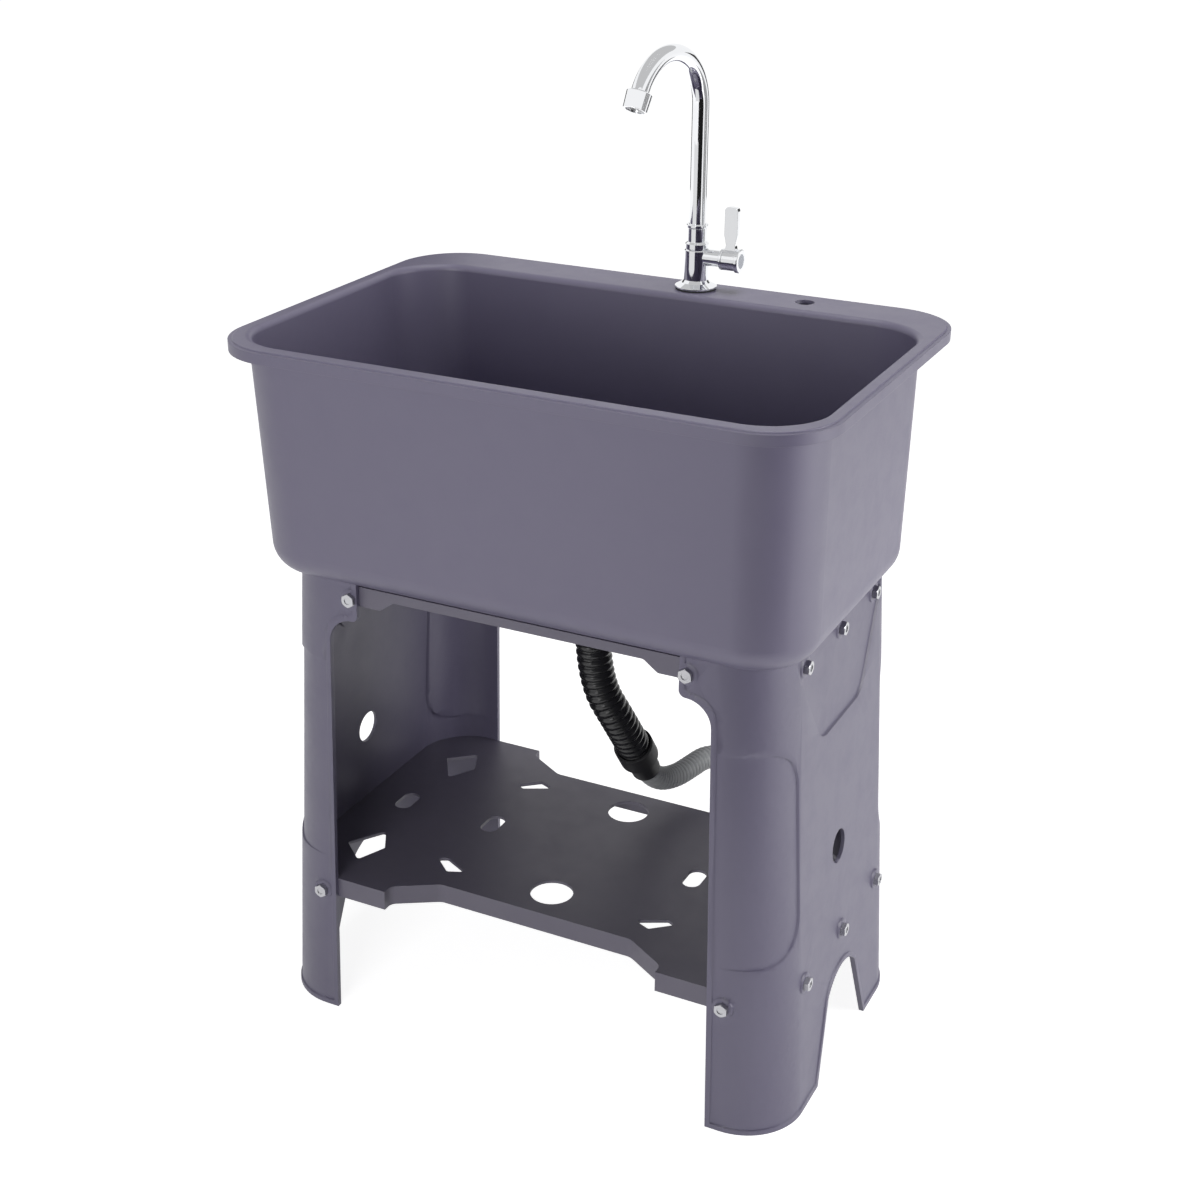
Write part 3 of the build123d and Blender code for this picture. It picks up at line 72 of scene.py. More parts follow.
# both hoses' routes through the stand, in metres
UPPER_ROUTE = (
    (0.0, 0.0, 0.4455), (0.0, 0.0, 0.375), (0.027, 0.020, 0.313), (0.027, 0.062, 0.257),
)
LOWER_ROUTE = (
    (0.027, 0.0668, 0.2506), (0.027, 0.0876, 0.2229), (0.0319, 0.1105, 0.2040),
    (0.0392, 0.1359, 0.1974), (0.0450, 0.1556, 0.1981), (0.0540, 0.1965, 0.1992),
    (0.0736, 0.2250, 0.1805), (0.0965, 0.2327, 0.1490), (0.098, 0.231, 0.105), (0.098, 0.231, 0.050),
)


# ---- node trees ---------------------------------------------------------------------------
class Tree:
    """Adds nodes to a node tree and wires them by socket name."""

    def __init__(self, tree):
        self.tree = tree

    def add(self, kind, settings=None, **inputs):
        node = self.tree.nodes.new(kind)
        for name, value in (settings or {}).items():
            setattr(node, name, value)
        for name, value in inputs.items():
            socket = self.socket(node, name)
            if isinstance(value, bpy.types.NodeSocket):
                self.tree.links.new(value, socket)
            else:
                socket.default_value = value
        return node

    @staticmethod
    def socket(node, name):
        if name.startswith("in_"):
            return node.inputs[int(name[3:])]
        return node.inputs[name.replace("_", " ")]

    def math(self, operation, first, second=0.0, clamp=False):
        settings = {"operation": operation, "use_clamp": clamp}
        return self.add("ShaderNodeMath", settings, in_0=first, in_1=second).outputs[0]

    def blend(self, share, first, second, mode="MIX"):
        settings = {"data_type": "RGBA", "blend_type": mode}
        return self.add("ShaderNodeMix", settings, in_0=share, in_6=first, in_7=second).outputs[2]

    def range(self, value, low, high, to_low, to_high):
        return self.add(
            "ShaderNodeMapRange", None, in_0=value, in_1=low, in_2=high, in_3=to_low, in_4=to_high
        ).outputs[0]

    def noise(self, vector, scale, detail=3.0, roughness=0.5):
        return self.add(
            "ShaderNodeTexNoise", None, Vector=vector, Scale=scale, Detail=detail, Roughness=roughness
        ).outputs[0]


def node_group(name, inputs, outputs):
    """A new shader node group with its named sockets; returns it with its helper and its ends."""
    group = bpy.data.node_groups.new(name, "ShaderNodeTree")
    for label, kind, default in inputs:
        socket = group.interface.new_socket(label, in_out="INPUT", socket_type=kind)
        if default is not None:
            socket.default_value = default
    for label, kind in outputs:
        group.interface.new_socket(label, in_out="OUTPUT", socket_type=kind)
    tree = Tree(group)
    return group, tree, tree.add("NodeGroupInput").outputs, tree.add("NodeGroupOutput").inputs


FLOAT = "NodeSocketFloat"
COLOUR = "NodeSocketColor"
VECTOR = "NodeSocketVector"


def soft_edges_group():
    """Rounds sharp edges in the light and gives a mask of them."""
    group, tree, given, put = node_group(
        "Soft Edges", [("Radius", FLOAT, 0.001)], [("Normal", VECTOR), ("Edge", FLOAT)]
    )
    bevel = tree.add("ShaderNodeBevel", {"samples": 6}, Radius=given["Radius"]).outputs[0]
    plain = tree.add("ShaderNodeNewGeometry").outputs["Normal"]
    facing = tree.add("ShaderNodeVectorMath", {"operation": "DOT_PRODUCT"}, in_0=bevel, in_1=plain)
    tree.tree.links.new(bevel, put["Normal"])
    tree.tree.links.new(tree.range(facing.outputs["Value"], 0.995, 0.86, 0.0, 1.0), put["Edge"])
    return group


def moulded_plastic_group():
    """Colour with a painted highlight along its sharp edges, gloss and fine grain of a large injection
    moulding.
    """
    group, tree, given, put = node_group(
        "Moulded Plastic",
        [
            ("Vector", VECTOR, None), ("Colour", COLOUR, None), ("Edge", FLOAT, 0.0),
            ("Shade Variation", FLOAT, 0.05), ("Roughness", FLOAT, 0.4), ("Grain Size", FLOAT, 0.0012),
        ],
        [("Colour", COLOUR), ("Roughness", FLOAT), ("Height", FLOAT)],
    )
    point = given["Vector"]
    clouds = tree.noise(point, 5.0, 2.0)
    mottle = tree.noise(point, 120.0, 4.0, 0.6)
    shade = tree.math("ADD", tree.math("MULTIPLY", clouds, 0.6), tree.math("MULTIPLY", mottle, 0.4))
    amount = tree.math("MULTIPLY", tree.math("SUBTRACT", shade, 0.5), given["Shade Variation"])
    value = tree.math("ADD", tree.math("MULTIPLY", amount, 2.0), 1.0)
    hue = tree.add("ShaderNodeHueSaturation", None, Value=value, Color=given["Colour"]).outputs[0]
    # painted highlight: the colour turns paler along the sharp edges that the Edge mask finds
    pale = tree.blend(1.0, hue, (0.16, 0.16, 0.16, 1.0), "ADD")
    painted_edge_highlight = tree.blend(tree.math("MULTIPLY", given["Edge"], 0.22), hue, pale)
    tree.tree.links.new(painted_edge_highlight, put["Colour"])
    scuffs = tree.range(tree.noise(point, 38.0, 6.0, 0.72), 0.42, 0.7, 0.0, 0.07)
    uneven = tree.math("ADD", scuffs, tree.math("MULTIPLY", clouds, 0.05))
    rough = tree.math("ADD", given["Roughness"], uneven)
    polished = tree.math("MULTIPLY", given["Edge"], 0.06)
    tree.tree.links.new(tree.math("SUBTRACT", rough, polished), put["Roughness"])
    fineness = tree.math("DIVIDE", 1.0, given["Grain Size"])
    grain = tree.noise(point, fineness, 2.0, 0.6)
    cells = tree.add(
        "ShaderNodeTexVoronoi", {"feature": "SMOOTH_F1"}, Vector=point, Scale=fineness
    ).outputs["Distance"]
    fine = tree.math("MULTIPLY", grain, 0.6)
    coarse = tree.math("MULTIPLY", cells, 0.4)
    tree.tree.links.new(tree.math("ADD", fine, coarse), put["Height"])
    return group


def plated_metal_group():
    """Plating with faint haze, wipe marks and pits."""
    group, tree, given, put = node_group(
        "Plated Metal",
        [
            ("Vector", VECTOR, None), ("Colour", COLOUR, None), ("Edge", FLOAT, 0.0),
            ("Haze", FLOAT, 0.02), ("Roughness", FLOAT, 0.06), ("Pit Size", FLOAT, 0.0008),
        ],
        [("Colour", COLOUR), ("Roughness", FLOAT), ("Height", FLOAT)],
    )
    point = given["Vector"]
    film = tree.noise(point, 60.0, 5.0, 0.65)
    marks = tree.range(tree.noise(point, 240.0, 8.0, 0.7), 0.5, 0.75, 0.0, 1.0)
    dull = tree.blend(1.0, given["Colour"], (0.82, 0.82, 0.84, 1.0), "MULTIPLY")
    share = tree.math("MULTIPLY", film, tree.math("MULTIPLY", given["Haze"], 6.0), True)
    tree.tree.links.new(tree.blend(share, given["Colour"], dull), put["Colour"])
    haze = tree.math("MULTIPLY", given["Haze"], tree.math("ADD", film, marks))
    rough = tree.math("ADD", given["Roughness"], haze)
    tree.tree.links.new(tree.math("ADD", rough, tree.math("MULTIPLY", given["Edge"], 0.05)), put["Roughness"])
    pits = tree.noise(point, tree.math("DIVIDE", 1.0, given["Pit Size"]), 3.0, 0.6)
    tree.tree.links.new(pits, put["Height"])
    return group


GROUPS = {}
GRAIN_HEIGHT = 0.000025
PLASTIC_IOR = 1.7


def surface_groups():
    if not GROUPS:
        GROUPS["edges"] = soft_edges_group()
        GROUPS["plastic"] = moulded_plastic_group()
        GROUPS["metal"] = plated_metal_group()
    return GROUPS


def empty_material(name):
    """A new material without nodes, and the helper that adds them."""
    material = bpy.data.materials.new(name)
    material.use_nodes = True
    material.node_tree.nodes.clear()
    return material, Tree(material.node_tree)


def finish(name, group, values, bump, edge_radius, extra_height=None, **shader):
    """A material: the surface group feeds colour, roughness and bump of a Principled shader."""
    groups = surface_groups()
    material, tree = empty_material(name)
    point = tree.add("ShaderNodeTexCoord").outputs["Object"]
    edges = tree.add("ShaderNodeGroup", {"node_tree": groups["edges"]}, Radius=edge_radius)
    surface = tree.add(
        "ShaderNodeGroup", {"node_tree": groups[group]}, Vector=point, Edge=edges.outputs["Edge"]
    )
    for label, value in values.items():
        surface.inputs[label].default_value = value
    height = surface.outputs["Height"]
    if extra_height:
        height = extra_height(tree, point, height)
    relief = tree.add(
        "ShaderNodeBump", None, Strength=1.0, Distance=bump, Height=height, Normal=edges.outputs["Normal"]
    )
    principled = tree.add(
        "ShaderNodeBsdfPrincipled", None,
        Base_Color=surface.outputs["Colour"], Roughness=surface.outputs["Roughness"],
        Normal=relief.outputs["Normal"], **shader,
    )
    output = tree.add("ShaderNodeOutputMaterial")
    tree.tree.links.new(principled.outputs[0], output.inputs["Surface"])
    return material


def colour(values):
    return (values[0], values[1], values[2], 1.0)


def moulding(context, name, shade, roughness, variation):
    """One of the large mouldings' plastics, made once."""
    made = bpy.data.materials.get(name)
    if made:
        return made
    colours = context.scene.sink_colours
    values = {
        "Colour": colour(shade), "Shade Variation": variation,
        "Roughness": roughness, "Grain Size": colours.grain,
    }
    return finish(name, "plastic", values, GRAIN_HEIGHT, colours.edge, IOR=PLASTIC_IOR)


def panel_plastic(context):
    shade = context.scene.sink_colours.panels
    return moulding(context, "panel_plastic_finish", shade, 0.42, 0.04)


def dress(names, material):
    """Gives CAD nodes their material."""
    for name in names:
        node = NODES[name]
        if not node.material_slots:
            node.data.materials.append(material)
        for slot in node.material_slots:
            slot.material = material


# ---- sizes and colours that a user would change ----------------------------------------------
def length_value(name, description, default):
    return bpy.props.FloatProperty(
        name=name, description=description, default=default, min=0.0, subtype="DISTANCE", unit="LENGTH"
    )


def colour_value(name, description, default):
    return bpy.props.FloatVectorProperty(
        name=name, description=description, default=default, size=3, subtype="COLOR", min=0.0, max=1.0
    )


class SinkColours(bpy.types.PropertyGroup):
    """Colours and grain of the sink's materials"""

    tub: colour_value("Tub", "Moulded plastic of the bowl and rim", (0.165, 0.149, 0.232))
    panels: colour_value("Panels", "Moulded plastic of the side panels", (0.138, 0.125, 0.198))
    shelf: colour_value("Shelf", "Moulded plastic of the shelf and rails", (0.125, 0.114, 0.160))
    zinc: colour_value("Zinc", "Plating on bolts and nuts", (0.46, 0.46, 0.48))
    chrome: colour_value("Chrome", "Plating on the tap", (0.88, 0.89, 0.91))
    upper_hose: colour_value("Upper hose", "Glossy dark ribbed hose", (0.018, 0.018, 0.020))
    lower_hose: colour_value("Lower hose", "Satin grey ribbed hose", (0.40, 0.41, 0.42))
    grain: length_value("Grain", "Size of the moulded grain", 0.0011)
    # the edge radius also sets how wide the painted edge highlight on the plastics is
    edge: length_value("Edge softness", "Radius of moulded edges", 0.0009)


class SinkHoses(bpy.types.PropertyGroup):
    """Sizes of the two ribbed drain hoses"""

    upper_crest: length_value("Upper crest", "Outside diameter over the ribs", 0.038)
    upper_root: length_value("Upper root", "Diameter between the ribs", 0.0325)
    upper_pitch: length_value("Upper pitch", "Distance from rib to rib", 0.0088)
    upper_bore: length_value("Upper bore", "Inside diameter", 0.028)
    lower_crest: length_value("Lower crest", "Outside diameter over the ribs", 0.027)
    lower_root: length_value("Lower root", "Diameter between the ribs", 0.0232)
    lower_pitch: length_value("Lower pitch", "Distance from rib to rib", 0.0056)
    lower_bore: length_value("Lower bore", "Inside diameter", 0.019)


class SinkStage(bpy.types.PropertyGroup):
    """Floor, light and camera"""

    floor: length_value("Floor", "Side of the floor", 40.0)
    key: bpy.props.FloatProperty(
        name="Key light", description="Power of the softbox at the right", default=30.0, min=0.0, unit="POWER"
    )
    top: bpy.props.FloatProperty(
        name="Top light", description="Power of the softbox overhead", default=30.0, min=0.0, unit="POWER"
    )
    front: bpy.props.FloatProperty(
        name="Front light", description="Power of the softbox in front", default=22.0, min=0.0, unit="POWER"
    )
    surround: bpy.props.FloatProperty(
        name="Surround", description="Strength of the even surrounding light", default=0.05, min=0.0
    )
    lens: bpy.props.FloatProperty(
        name="Lens", description="Focal length", default=55.9, min=1.0, unit="CAMERA"
    )


# ---- hoses --------------------------------------------------------------------------------
HOSE_GRAIN = 0.002
HOSE_EDGE = 0.0003
UPPER_SIDES, LOWER_SIDES = 44, 36
RIB_STATIONS = 8
RIB_ROUNDNESS = 0.75


def route_line(name, route):
    """The points of the smooth spline that has the route as its control points."""
    curve = bpy.data.curves.new(name, "CURVE")
    curve.dimensions = "3D"
    curve.resolution_u = 40
    spline = curve.splines.new("NURBS")
    spline.points.add(len(route) - 1)
    for point, place in zip(spline.points, route):
        point.co = (*place, 1.0)
    spline.order_u = 3
    spline.use_endpoint_u = True
    guide = bpy.data.objects.new(name, curve)
    bpy.context.scene.collection.objects.link(guide)
    bpy.context.view_layer.update()
    mesh = bpy.data.meshes.new_from_object(guide)
    line = [vertex.co.copy() for vertex in mesh.vertices]
    bpy.data.objects.remove(guide)
    bpy.data.curves.remove(curve)
    bpy.data.meshes.remove(mesh)
    return line


def along(line, distance):
    """Place and heading at a distance along a line."""
    for start, end in zip(line, line[1:]):
        step = (end - start).length
        if distance <= step:
            return start.lerp(end, distance / step), (end - start).normalized()
        distance -= step
    return line[-1].copy(), (line[-1] - line[-2]).normalized()


def ribbed_hose(name, route, crest, root, pitch, bore, around, material):
    """A corrugated hose with rounded ribs, closed to its bore at both ends."""
    line = route_line(name + "_line", route)
    total = sum((b - a).length for a, b in zip(line, line[1:]))
    ribs = round(total / pitch)
    rings = []
    side = Vector((1.0, 0.0, 0.0))
    for index in range(ribs * RIB_STATIONS + 1):
        place, heading = along(line, total * index / (ribs * RIB_STATIONS))
        side = (side - heading * side.dot(heading)).normalized()
        share = (index % RIB_STATIONS) / RIB_STATIONS
        swell = math.sin(math.pi * share) ** RIB_ROUNDNESS
        radius = root / 2 + (crest - root) / 2 * swell
        rings.append((place, side.copy(), heading.cross(side), radius))
    inner = [(place, right, up, bore / 2) for place, right, up, _ in rings[:: RIB_STATIONS // 2]]
    mesh = bmesh.new()
    loops = []
    for place, right, up, radius in rings + inner[::-1]:
        loop = []
        for step in range(around):
            angle = 2 * math.pi * step / around
            outward = right * math.cos(angle) + up * math.sin(angle)
            loop.append(mesh.verts.new(place + outward * radius))
        loops.append(loop)
    for low, high in zip(loops, loops[1:] + loops[:1]):
        for step in range(around):
            after = (step + 1) % around
            mesh.faces.new((low[step], low[after], high[after], high[step]))
    bmesh.ops.recalc_face_normals(mesh, faces=mesh.faces)
    data = bpy.data.meshes.new(name)
    mesh.to_mesh(data)
    mesh.free()
    data.shade_smooth()
    data.materials.append(material)
    hose = bpy.data.objects.new(name, data)
    bpy.context.scene.collection.objects.link(hose)
    return hose, line, total


class SINK_OT_drain_hoses(bpy.types.Operator):
    """Makes both ribbed drain hoses along their hanging routes"""

    bl_idname = "sink.drain_hoses"
    bl_label = "Drain Hoses"

    def execute(self, context):
        sizes = context.scene.sink_hoses
        colours = context.scene.sink_colours
        dark = finish(
            "dark_hose_finish", "plastic",
            {
                "Colour": colour(colours.upper_hose), "Shade Variation": 0.2,
                "Roughness": 0.2, "Grain Size": HOSE_GRAIN,
            },
            0.00002, HOSE_EDGE,
        )
        grey = finish(
            "grey_hose_finish", "plastic",
            {
                "Colour": colour(colours.lower_hose), "Shade Variation": 0.12,
                "Roughness": 0.34, "Grain Size": HOSE_GRAIN,
            },
            0.00003, HOSE_EDGE,
        )
        upper, _, _ = ribbed_hose(
            "upper_drain_hose", UPPER_ROUTE, sizes.upper_crest, sizes.upper_root,
            sizes.upper_pitch, sizes.upper_bore, UPPER_SIDES, dark,
        )
        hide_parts("drain_hose_upper")
        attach(upper, SINK_BODY)
        lower, line, total = ribbed_hose(
            "lower_drain_hose", LOWER_ROUTE, sizes.lower_crest, sizes.lower_root,
            sizes.lower_pitch, sizes.lower_bore, LOWER_SIDES, grey,
        )
        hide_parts("drain_hose_lower")
        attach(lower, SINK_BODY)
        return {"FINISHED"}


# ---- side panels ----------------------------------------------------------------------------
# the stand's tapered outline: length and width at the foot, and what each loses to the top
STAND_HEIGHT = 0.509
FOOT_LENGTH, LENGTH_TAPER = 0.598, 0.0578
FOOT_WIDTH, WIDTH_TAPER = 0.3622, 0.0193
STAND_CORNER = 0.063
WALL = 0.004
# the relief in the end faces, which starts inside the corners
RELIEF_FOOT, RELIEF_HEAD, RELIEF_DEPTH = 0.1910, 0.4220, 0.0025
CORNER_START = 0.118
# the bowl's bottom: half its length and width, its corner and its lower edge's radius
BOWL_HALF_LENGTH, BOWL_HALF_WIDTH = 0.2915, 0.186
BOWL_CORNER, BOWL_EDGE = 0.062, 0.030
BOWL_GAP = 0.0002
TOP_EDGE = 0.5085
# how near a vertex counts as on a line, where the relief's skins lie, what is merged
ON_LINE = 0.0003
OUTERMOST_SKIN, DEEPEST_SKIN = 0.0002, 0.009
SAME_PLACE = 0.000001
SAME_EDGE = 0.00002
SHARP_TURN = math.radians(28)


def tube_inset(place):
    """How far a point lies inside the stand's outline, and how far the outline turns from X."""
    share = place.z / STAND_HEIGHT
    along_x = abs(place.x) - ((FOOT_LENGTH - LENGTH_TAPER * share) / 2 - STAND_CORNER)
    along_y = abs(place.y) - ((FOOT_WIDTH - WIDTH_TAPER * share) / 2 - STAND_CORNER)
    if along_x > 0 and along_y > 0:
        return STAND_CORNER - math.hypot(along_x, along_y), math.atan2(along_y, along_x)
    if along_x > along_y:
        return STAND_CORNER - along_x, 0.0
    return STAND_CORNER - along_y, math.pi / 2


def bowl_rise(place):
    """How far the bowl's rounded underside lies above the stand's top edge."""
    along_x = abs(place.x) - (BOWL_HALF_LENGTH - BOWL_CORNER)
    along_y = abs(place.y) - (BOWL_HALF_WIDTH - BOWL_CORNER)
    outside = math.hypot(max(along_x, 0.0), max(along_y, 0.0)) + min(max(along_x, along_y), 0.0)
    inset = BOWL_CORNER - outside
    if inset >= BOWL_EDGE:
        return 0.0
    return BOWL_EDGE - math.sqrt(BOWL_EDGE ** 2 - (BOWL_EDGE - max(inset, 0.0)) ** 2)


def fade_relief(place):
    """Moves a point of the relief's skins outwards, more the further the corner has turned."""
    inset, turned = tube_inset(place)
    on_step = min(abs(place.z - RELIEF_FOOT), abs(place.z - RELIEF_HEAD)) < ON_LINE
    plain_wall = on_step and abs(inset - WALL) <= ON_LINE
    if plain_wall or not -OUTERMOST_SKIN < inset < DEEPEST_SKIN:
        return
    move = min(inset / RELIEF_DEPTH, 1.0) * RELIEF_DEPTH * (1.0 - math.cos(turned))
    place.x += math.copysign(move * math.cos(turned), place.x)
    place.y += math.copysign(move * math.sin(turned), place.y)


class SINK_OT_side_panels(bpy.types.Operator):
    """Fades the side panels' relief round their corners and fits their top edge to the bowl"""

    bl_idname = "sink.side_panels"
    bl_label = "Side Panels"

    def execute(self, context):
        for name in PANELS:
            node = NODES[name]
            mesh = bmesh.new()
            mesh.from_mesh(node.data)
            bmesh.ops.remove_doubles(mesh, verts=mesh.verts, dist=SAME_PLACE)
            for vertex in mesh.verts:
                place = vertex.co
                in_height = RELIEF_FOOT - ON_LINE < place.z < RELIEF_HEAD + ON_LINE
                if in_height and abs(place.y) > CORNER_START:
                    fade_relief(place)
                elif place.z > TOP_EDGE:
                    place.z += max(bowl_rise(place) - BOWL_GAP, 0.0)
            bmesh.ops.remove_doubles(mesh, verts=mesh.verts, dist=SAME_EDGE)
            bmesh.ops.dissolve_degenerate(mesh, edges=mesh.edges, dist=SAME_EDGE)
            bpy.ops.object.select_all(action="DESELECT")
            bpy.ops.mesh.primitive_cube_add(location=(0, 0, 0))
            panel = context.active_object
            panel.name = name.replace("side_panel", "end_panel")
            panel.data.clear_geometry()
            panel.data.materials.clear()
            mesh.to_mesh(panel.data)
            mesh.free()
            panel.data.shade_smooth()
            panel.data.set_sharp_from_angle(angle=SHARP_TURN)
            panel.modifiers.new("even_faces", "WEIGHTED_NORMAL").keep_sharp = True
            bpy.ops.object.modifier_apply(modifier="even_faces")
            panel.data.materials.append(panel_plastic(context))
            for polygon in panel.data.polygons:
                polygon.material_index = 0
            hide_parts(name)
            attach(panel, SINK_BODY)
        return {"FINISHED"}


# ---- finishes of the CAD nodes ---------------------------------------------------------------
class SINK_OT_plastic_finish(bpy.types.Operator):
    """Gives the tub, panels, rails and shelf their moulded plastic"""

    bl_idname = "sink.plastic_finish"
    bl_label = "Moulded Plastic"

    def execute(self, context):
        colours = context.scene.sink_colours
        for name, nodes, shade, rough, variation in (
            ("tub_plastic_finish", TUB, colours.tub, 0.40, 0.035),
            ("shelf_plastic_finish", RAILS_AND_SHELF, colours.shelf, 0.46, 0.05),
        ):
            dress(nodes, moulding(context, name, shade, rough, variation))
        dress(PANELS, panel_plastic(context))
        return {"FINISHED"}


# half of the M8 thread's pitch, the run over which it fades in, and its height next to the pits
HALF_PITCH = 0.000625
THREAD_FADE = 0.0004
THREAD_SHARE = 30.0


def thread_height(axis, inside):
    """Thread ridges along an axis of the object, nearer the middle than inside."""

    def add_thread(tree, point, height):
        parts = tree.add("ShaderNodeSeparateXYZ", None, Vector=point).outputs
        place = tree.math("ABSOLUTE", parts[axis])
        ridge = tree.math("PINGPONG", parts[axis], HALF_PITCH)
        ridge = tree.math("MULTIPLY", ridge, 1.0 / HALF_PITCH)
        shown = tree.range(place, inside, inside - THREAD_FADE, 0.0, THREAD_SHARE)
        return tree.math("ADD", height, tree.math("MULTIPLY", ridge, shown))

    return add_thread


class SINK_OT_metal_finish(bpy.types.Operator):
    """Gives the bolts, nuts and tap their plating"""

    bl_idname = "sink.metal_finish"
    bl_label = "Plated Metal"

    def execute(self, context):
        colours = context.scene.sink_colours
        zinc = {"Colour": colour(colours.zinc), "Haze": 0.09, "Roughness": 0.24, "Pit Size": 0.0006}
        side_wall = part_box("bowl_nuts")[0].x
        front_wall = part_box("rail_nuts")[0].y
        for name, nodes, extra in (
            ("zinc_side_bolts", SIDE_BOLTS, thread_height("X", -side_wall)),
            ("zinc_front_bolts", FRONT_BOLTS, thread_height("Y", -front_wall)),
            ("zinc_nuts", NUTS, None),
        ):
            dress(nodes, finish(name, "metal", zinc, 0.00001, 0.0004, extra, Metallic=1.0))
        chrome = {"Colour": colour(colours.chrome), "Haze": 0.012, "Roughness": 0.035, "Pit Size": 0.004}
        dress(CHROME, finish("chrome_plate", "metal", chrome, 0.000004, 0.0005, Metallic=1.0))
        steel = {"Colour": (0.62, 0.62, 0.62, 1.0), "Haze": 0.08, "Roughness": 0.24, "Pit Size": 0.0007}
        dress(STEEL_PARTS, finish("brushed_steel", "metal", steel, 0.00001, 0.0003, Metallic=1.0))
        return {"FINISHED"}


class SINK_OT_small_parts_finish(bpy.types.Operator):
    """Gives the seals, drain fittings and index disc their rubber and plastic"""

    bl_idname = "sink.small_parts_finish"
    bl_label = "Small Parts"

    def execute(self, context):
        for name, nodes, shade, rough, grain in (
            ("black_rubber", RUBBER, (0.022, 0.022, 0.024, 1.0), 0.52, 0.0007),
            ("white_fittings", WHITE_PARTS, (0.68, 0.68, 0.65, 1.0), 0.28, 0.0016),
            ("index_plastic", ("index_disc",), (0.50, 0.53, 0.58, 1.0), 0.22, 0.002),
        ):
            values = {"Colour": shade, "Shade Variation": 0.08, "Roughness": rough, "Grain Size": grain}
            dress(nodes, finish(name, "plastic", values, 0.00002, 0.0005))
        return {"FINISHED"}


# ---- stage --------------------------------------------------------------------------------
CAMERA_PLACE = Vector((0.7857, -1.5741, 1.2530))
CAMERA_TARGET = Vector((0.0031, 0.0107, 0.4604))
CAMERA_ROLL = math.radians(-0.4)
TAP_PLACE = Vector((0.0255, 0.187, 0.0))
# azimuth, distance, width, low and high edge and brightness of each upright card
REFLECTION_CARDS = (
    (-63.0, 1.05, 1.30, 0.02, 1.10, 0.012),
    (8.0, 0.75, 0.60, 0.55, 1.15, 0.34),
    (62.0, 0.70, 0.30, 0.70, 1.10, 0.05),
    (152.0, 0.75, 0.34, 0.70, 1.10, 0.05),
    (-112.0, 0.24, 0.24, 0.71, 0.86, 0.80),
)
# height, side and brightness
OVERHEAD_CARD = (1.5, 1.3, 0.58)
LIGHT_TARGET = (0.0, 0.0, 0.5)
# place and size of each softbox
KEY_SOFTBOX = ((2.45, 0.55, 0.85), (1.0, 1.1))
TOP_SOFTBOX = ((0.25, 0.1, 3.0), (1.1, 1.1))
FRONT_SOFTBOX = ((0.15, -2.4, 1.0), (1.2, 1.0))
FLOOR_COLOUR = (0.60, 0.60, 0.60, 1.0)
# distance from the middle and strength of the floor's white
WHITE_NEAR, WHITE_FAR = (0.45, 0.90), (1.1, 1.0)
WHITE = (1.0, 1.0, 1.0, 1.0)


def add_camera(lens):
    forward = (CAMERA_TARGET - CAMERA_PLACE).normalized()
    right = forward.cross(Vector((0, 0, 1))).normalized()
    down = forward.cross(right)
    turned_right = right * math.cos(CAMERA_ROLL) + down * math.sin(CAMERA_ROLL)
    turned_down = down * math.cos(CAMERA_ROLL) - right * math.sin(CAMERA_ROLL)
    data = bpy.data.cameras.new("photo_camera")
    data.lens = lens
    data.sensor_width = 36.0
    data.clip_end = 200.0
    camera = bpy.data.objects.new("photo_camera", data)
    turn = Matrix((turned_right, -turned_down, -forward)).transposed().to_4x4()
    camera.matrix_world = Matrix.Translation(CAMERA_PLACE) @ turn
    bpy.context.scene.collection.objects.link(camera)
    bpy.context.scene.camera = camera


def area_light(name, softbox, power):
    place, size = softbox
    data = bpy.data.lights.new(name, "AREA")
    data.shape = "RECTANGLE"
    data.size, data.size_y = size
    data.energy = power
    light = bpy.data.objects.new(name, data)
    light.location = place
    light.rotation_euler = (Vector(LIGHT_TARGET) - Vector(place)).to_track_quat("-Z", "Y").to_euler()
    bpy.context.scene.collection.objects.link(light)


def seen_directly(tree):
    """One for rays from the camera and for those mirrored or let through, nought for the rest."""
    path = tree.add("ShaderNodeLightPath").outputs
    bounced = tree.math("MAXIMUM", path["Is Glossy Ray"], path["Is Transmission Ray"])
    return tree.math("MAXIMUM", path["Is Camera Ray"], bounced)


def white_where_seen(name):
    """A pale surface that the camera, metal and glass see as white, with its shadows kept."""
    material, tree = empty_material(name)
    seen = seen_directly(tree)
    plain = tree.add("ShaderNodeBsdfDiffuse", None, Color=FLOOR_COLOUR)
    point = tree.add("ShaderNodeTexCoord").outputs["Object"]
    away = tree.add("ShaderNodeVectorMath", {"operation": "LENGTH"}, in_0=point).outputs["Value"]
    share = tree.range(away, WHITE_NEAR[0], WHITE_FAR[0], WHITE_NEAR[1], WHITE_FAR[1])
    strength = tree.math("MULTIPLY", seen, share)
    glow = tree.add("ShaderNodeEmission", None, Color=WHITE, Strength=strength)
    both = tree.add("ShaderNodeAddShader", None, in_0=plain.outputs[0], in_1=glow.outputs[0])
    output = tree.add("ShaderNodeOutputMaterial")
    tree.tree.links.new(both.outputs[0], output.inputs["Surface"])
    return material


def card_finish(brightness):
    """An even glow of one brightness."""
    material, tree = empty_material("card_tone")
    glow = tree.add("ShaderNodeEmission", None, Color=WHITE, Strength=brightness)
    output = tree.add("ShaderNodeOutputMaterial")
    tree.tree.links.new(glow.outputs[0], output.inputs["Surface"])
    return material


def reflection_card(name, place, turn, size, brightness):
    """A card near the tap that only reflections see."""
    bpy.ops.object.select_all(action="DESELECT")
    bpy.ops.mesh.primitive_plane_add(size=1.0, location=place, rotation=turn)
    card = bpy.context.active_object
    card.name = name
    card.scale = (*size, 1.0)
    card.data.materials.append(card_finish(brightness))
    card.visible_camera = False
    card.visible_diffuse = False
    card.visible_transmission = False
    card.visible_shadow = False


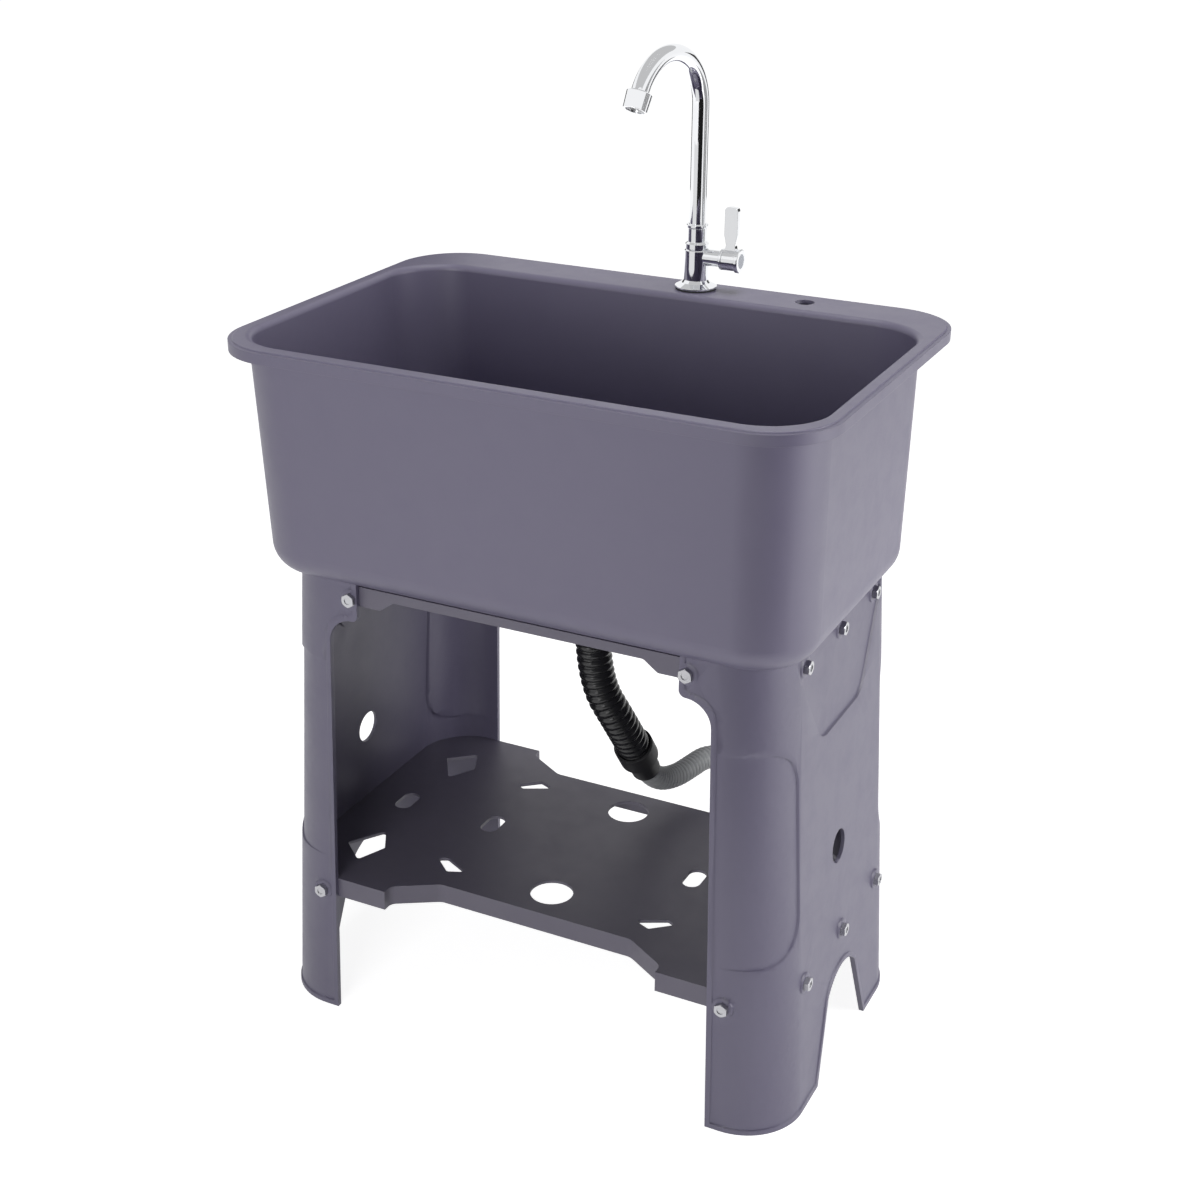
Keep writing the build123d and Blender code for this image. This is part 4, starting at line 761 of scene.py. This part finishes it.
def upright_card(azimuth, distance, width, low, high, brightness):
    """A card that stands round the tap and faces it."""
    turn = math.radians(azimuth)
    middle = TAP_PLACE + Vector((math.cos(turn), math.sin(turn), 0.0)) * distance
    reflection_card(
        "reflection_card_%d" % round(azimuth % 360), (middle.x, middle.y, (low + high) / 2),
        (math.pi / 2, 0.0, turn + math.pi / 2), (width, high - low), brightness,
    )


class SINK_OT_stage(bpy.types.Operator):
    """Adds the pale floor, soft light, surroundings and camera"""

    bl_idname = "sink.stage"
    bl_label = "Stage"

    def execute(self, context):
        stage = context.scene.sink_stage
        add_camera(stage.lens)
        bpy.ops.object.select_all(action="DESELECT")
        bpy.ops.mesh.primitive_plane_add(size=stage.floor, location=(0, 0, 0))
        floor = context.active_object
        floor.name = "pale_floor"
        floor.data.materials.append(white_where_seen("pale_floor_finish"))
        for card in REFLECTION_CARDS:
            upright_card(*card)
        height, side, brightness = OVERHEAD_CARD
        overhead = (TAP_PLACE.x, TAP_PLACE.y, height)
        reflection_card("overhead_card", overhead, (0.0, 0.0, 0.0), (side, side), brightness)
        area_light("key_softbox", KEY_SOFTBOX, stage.key)
        area_light("top_softbox", TOP_SOFTBOX, stage.top)
        area_light("front_softbox", FRONT_SOFTBOX, stage.front)
        world = bpy.data.worlds.new("studio_surround")
        context.scene.world = world
        world.use_nodes = True
        world.node_tree.nodes.clear()
        tree = Tree(world.node_tree)
        strength = tree.range(seen_directly(tree), 0.0, 1.0, stage.surround, 1.0)
        light = tree.add("ShaderNodeBackground", None, Color=WHITE, Strength=strength)
        output = tree.add("ShaderNodeOutputWorld")
        tree.tree.links.new(light.outputs[0], output.inputs["Surface"])
        context.scene.view_settings.view_transform = "Standard"
        return {"FINISHED"}


class SINK_PT_builder(bpy.types.Panel):
    """Lists the sink's sizes, colours and steps"""

    bl_label = "Laundry Sink"
    bl_idname = "SINK_PT_builder"
    bl_space_type = "VIEW_3D"
    bl_region_type = "UI"
    bl_category = "Sink"

    def draw(self, context):
        scene = context.scene
        for title, group in (
            ("Colours", scene.sink_colours), ("Hoses", scene.sink_hoses), ("Stage", scene.sink_stage),
        ):
            box = self.layout.box()
            box.label(text=title)
            for name in group.__annotations__:
                box.prop(group, name)
        for step in STEPS:
            self.layout.operator(step.bl_idname)


STEPS = (
    SINK_OT_drain_hoses, SINK_OT_side_panels, SINK_OT_plastic_finish, SINK_OT_metal_finish,
    SINK_OT_small_parts_finish, SINK_OT_stage,
)
CLASSES = (SinkColours, SinkHoses, SinkStage, *STEPS, SINK_PT_builder)


def register():
    for item in CLASSES:
        bpy.utils.register_class(item)
    bpy.types.Scene.sink_colours = bpy.props.PointerProperty(type=SinkColours)
    bpy.types.Scene.sink_hoses = bpy.props.PointerProperty(type=SinkHoses)
    bpy.types.Scene.sink_stage = bpy.props.PointerProperty(type=SinkStage)


def unregister():
    del bpy.types.Scene.sink_colours
    del bpy.types.Scene.sink_hoses
    del bpy.types.Scene.sink_stage
    for item in reversed(CLASSES):
        bpy.utils.unregister_class(item)


def main():
    register()
    bpy.ops.sink.drain_hoses()
    bpy.ops.sink.side_panels()
    bpy.ops.sink.plastic_finish()
    bpy.ops.sink.metal_finish()
    bpy.ops.sink.small_parts_finish()
    bpy.ops.sink.stage()


if __name__ == "__main__":
    main()
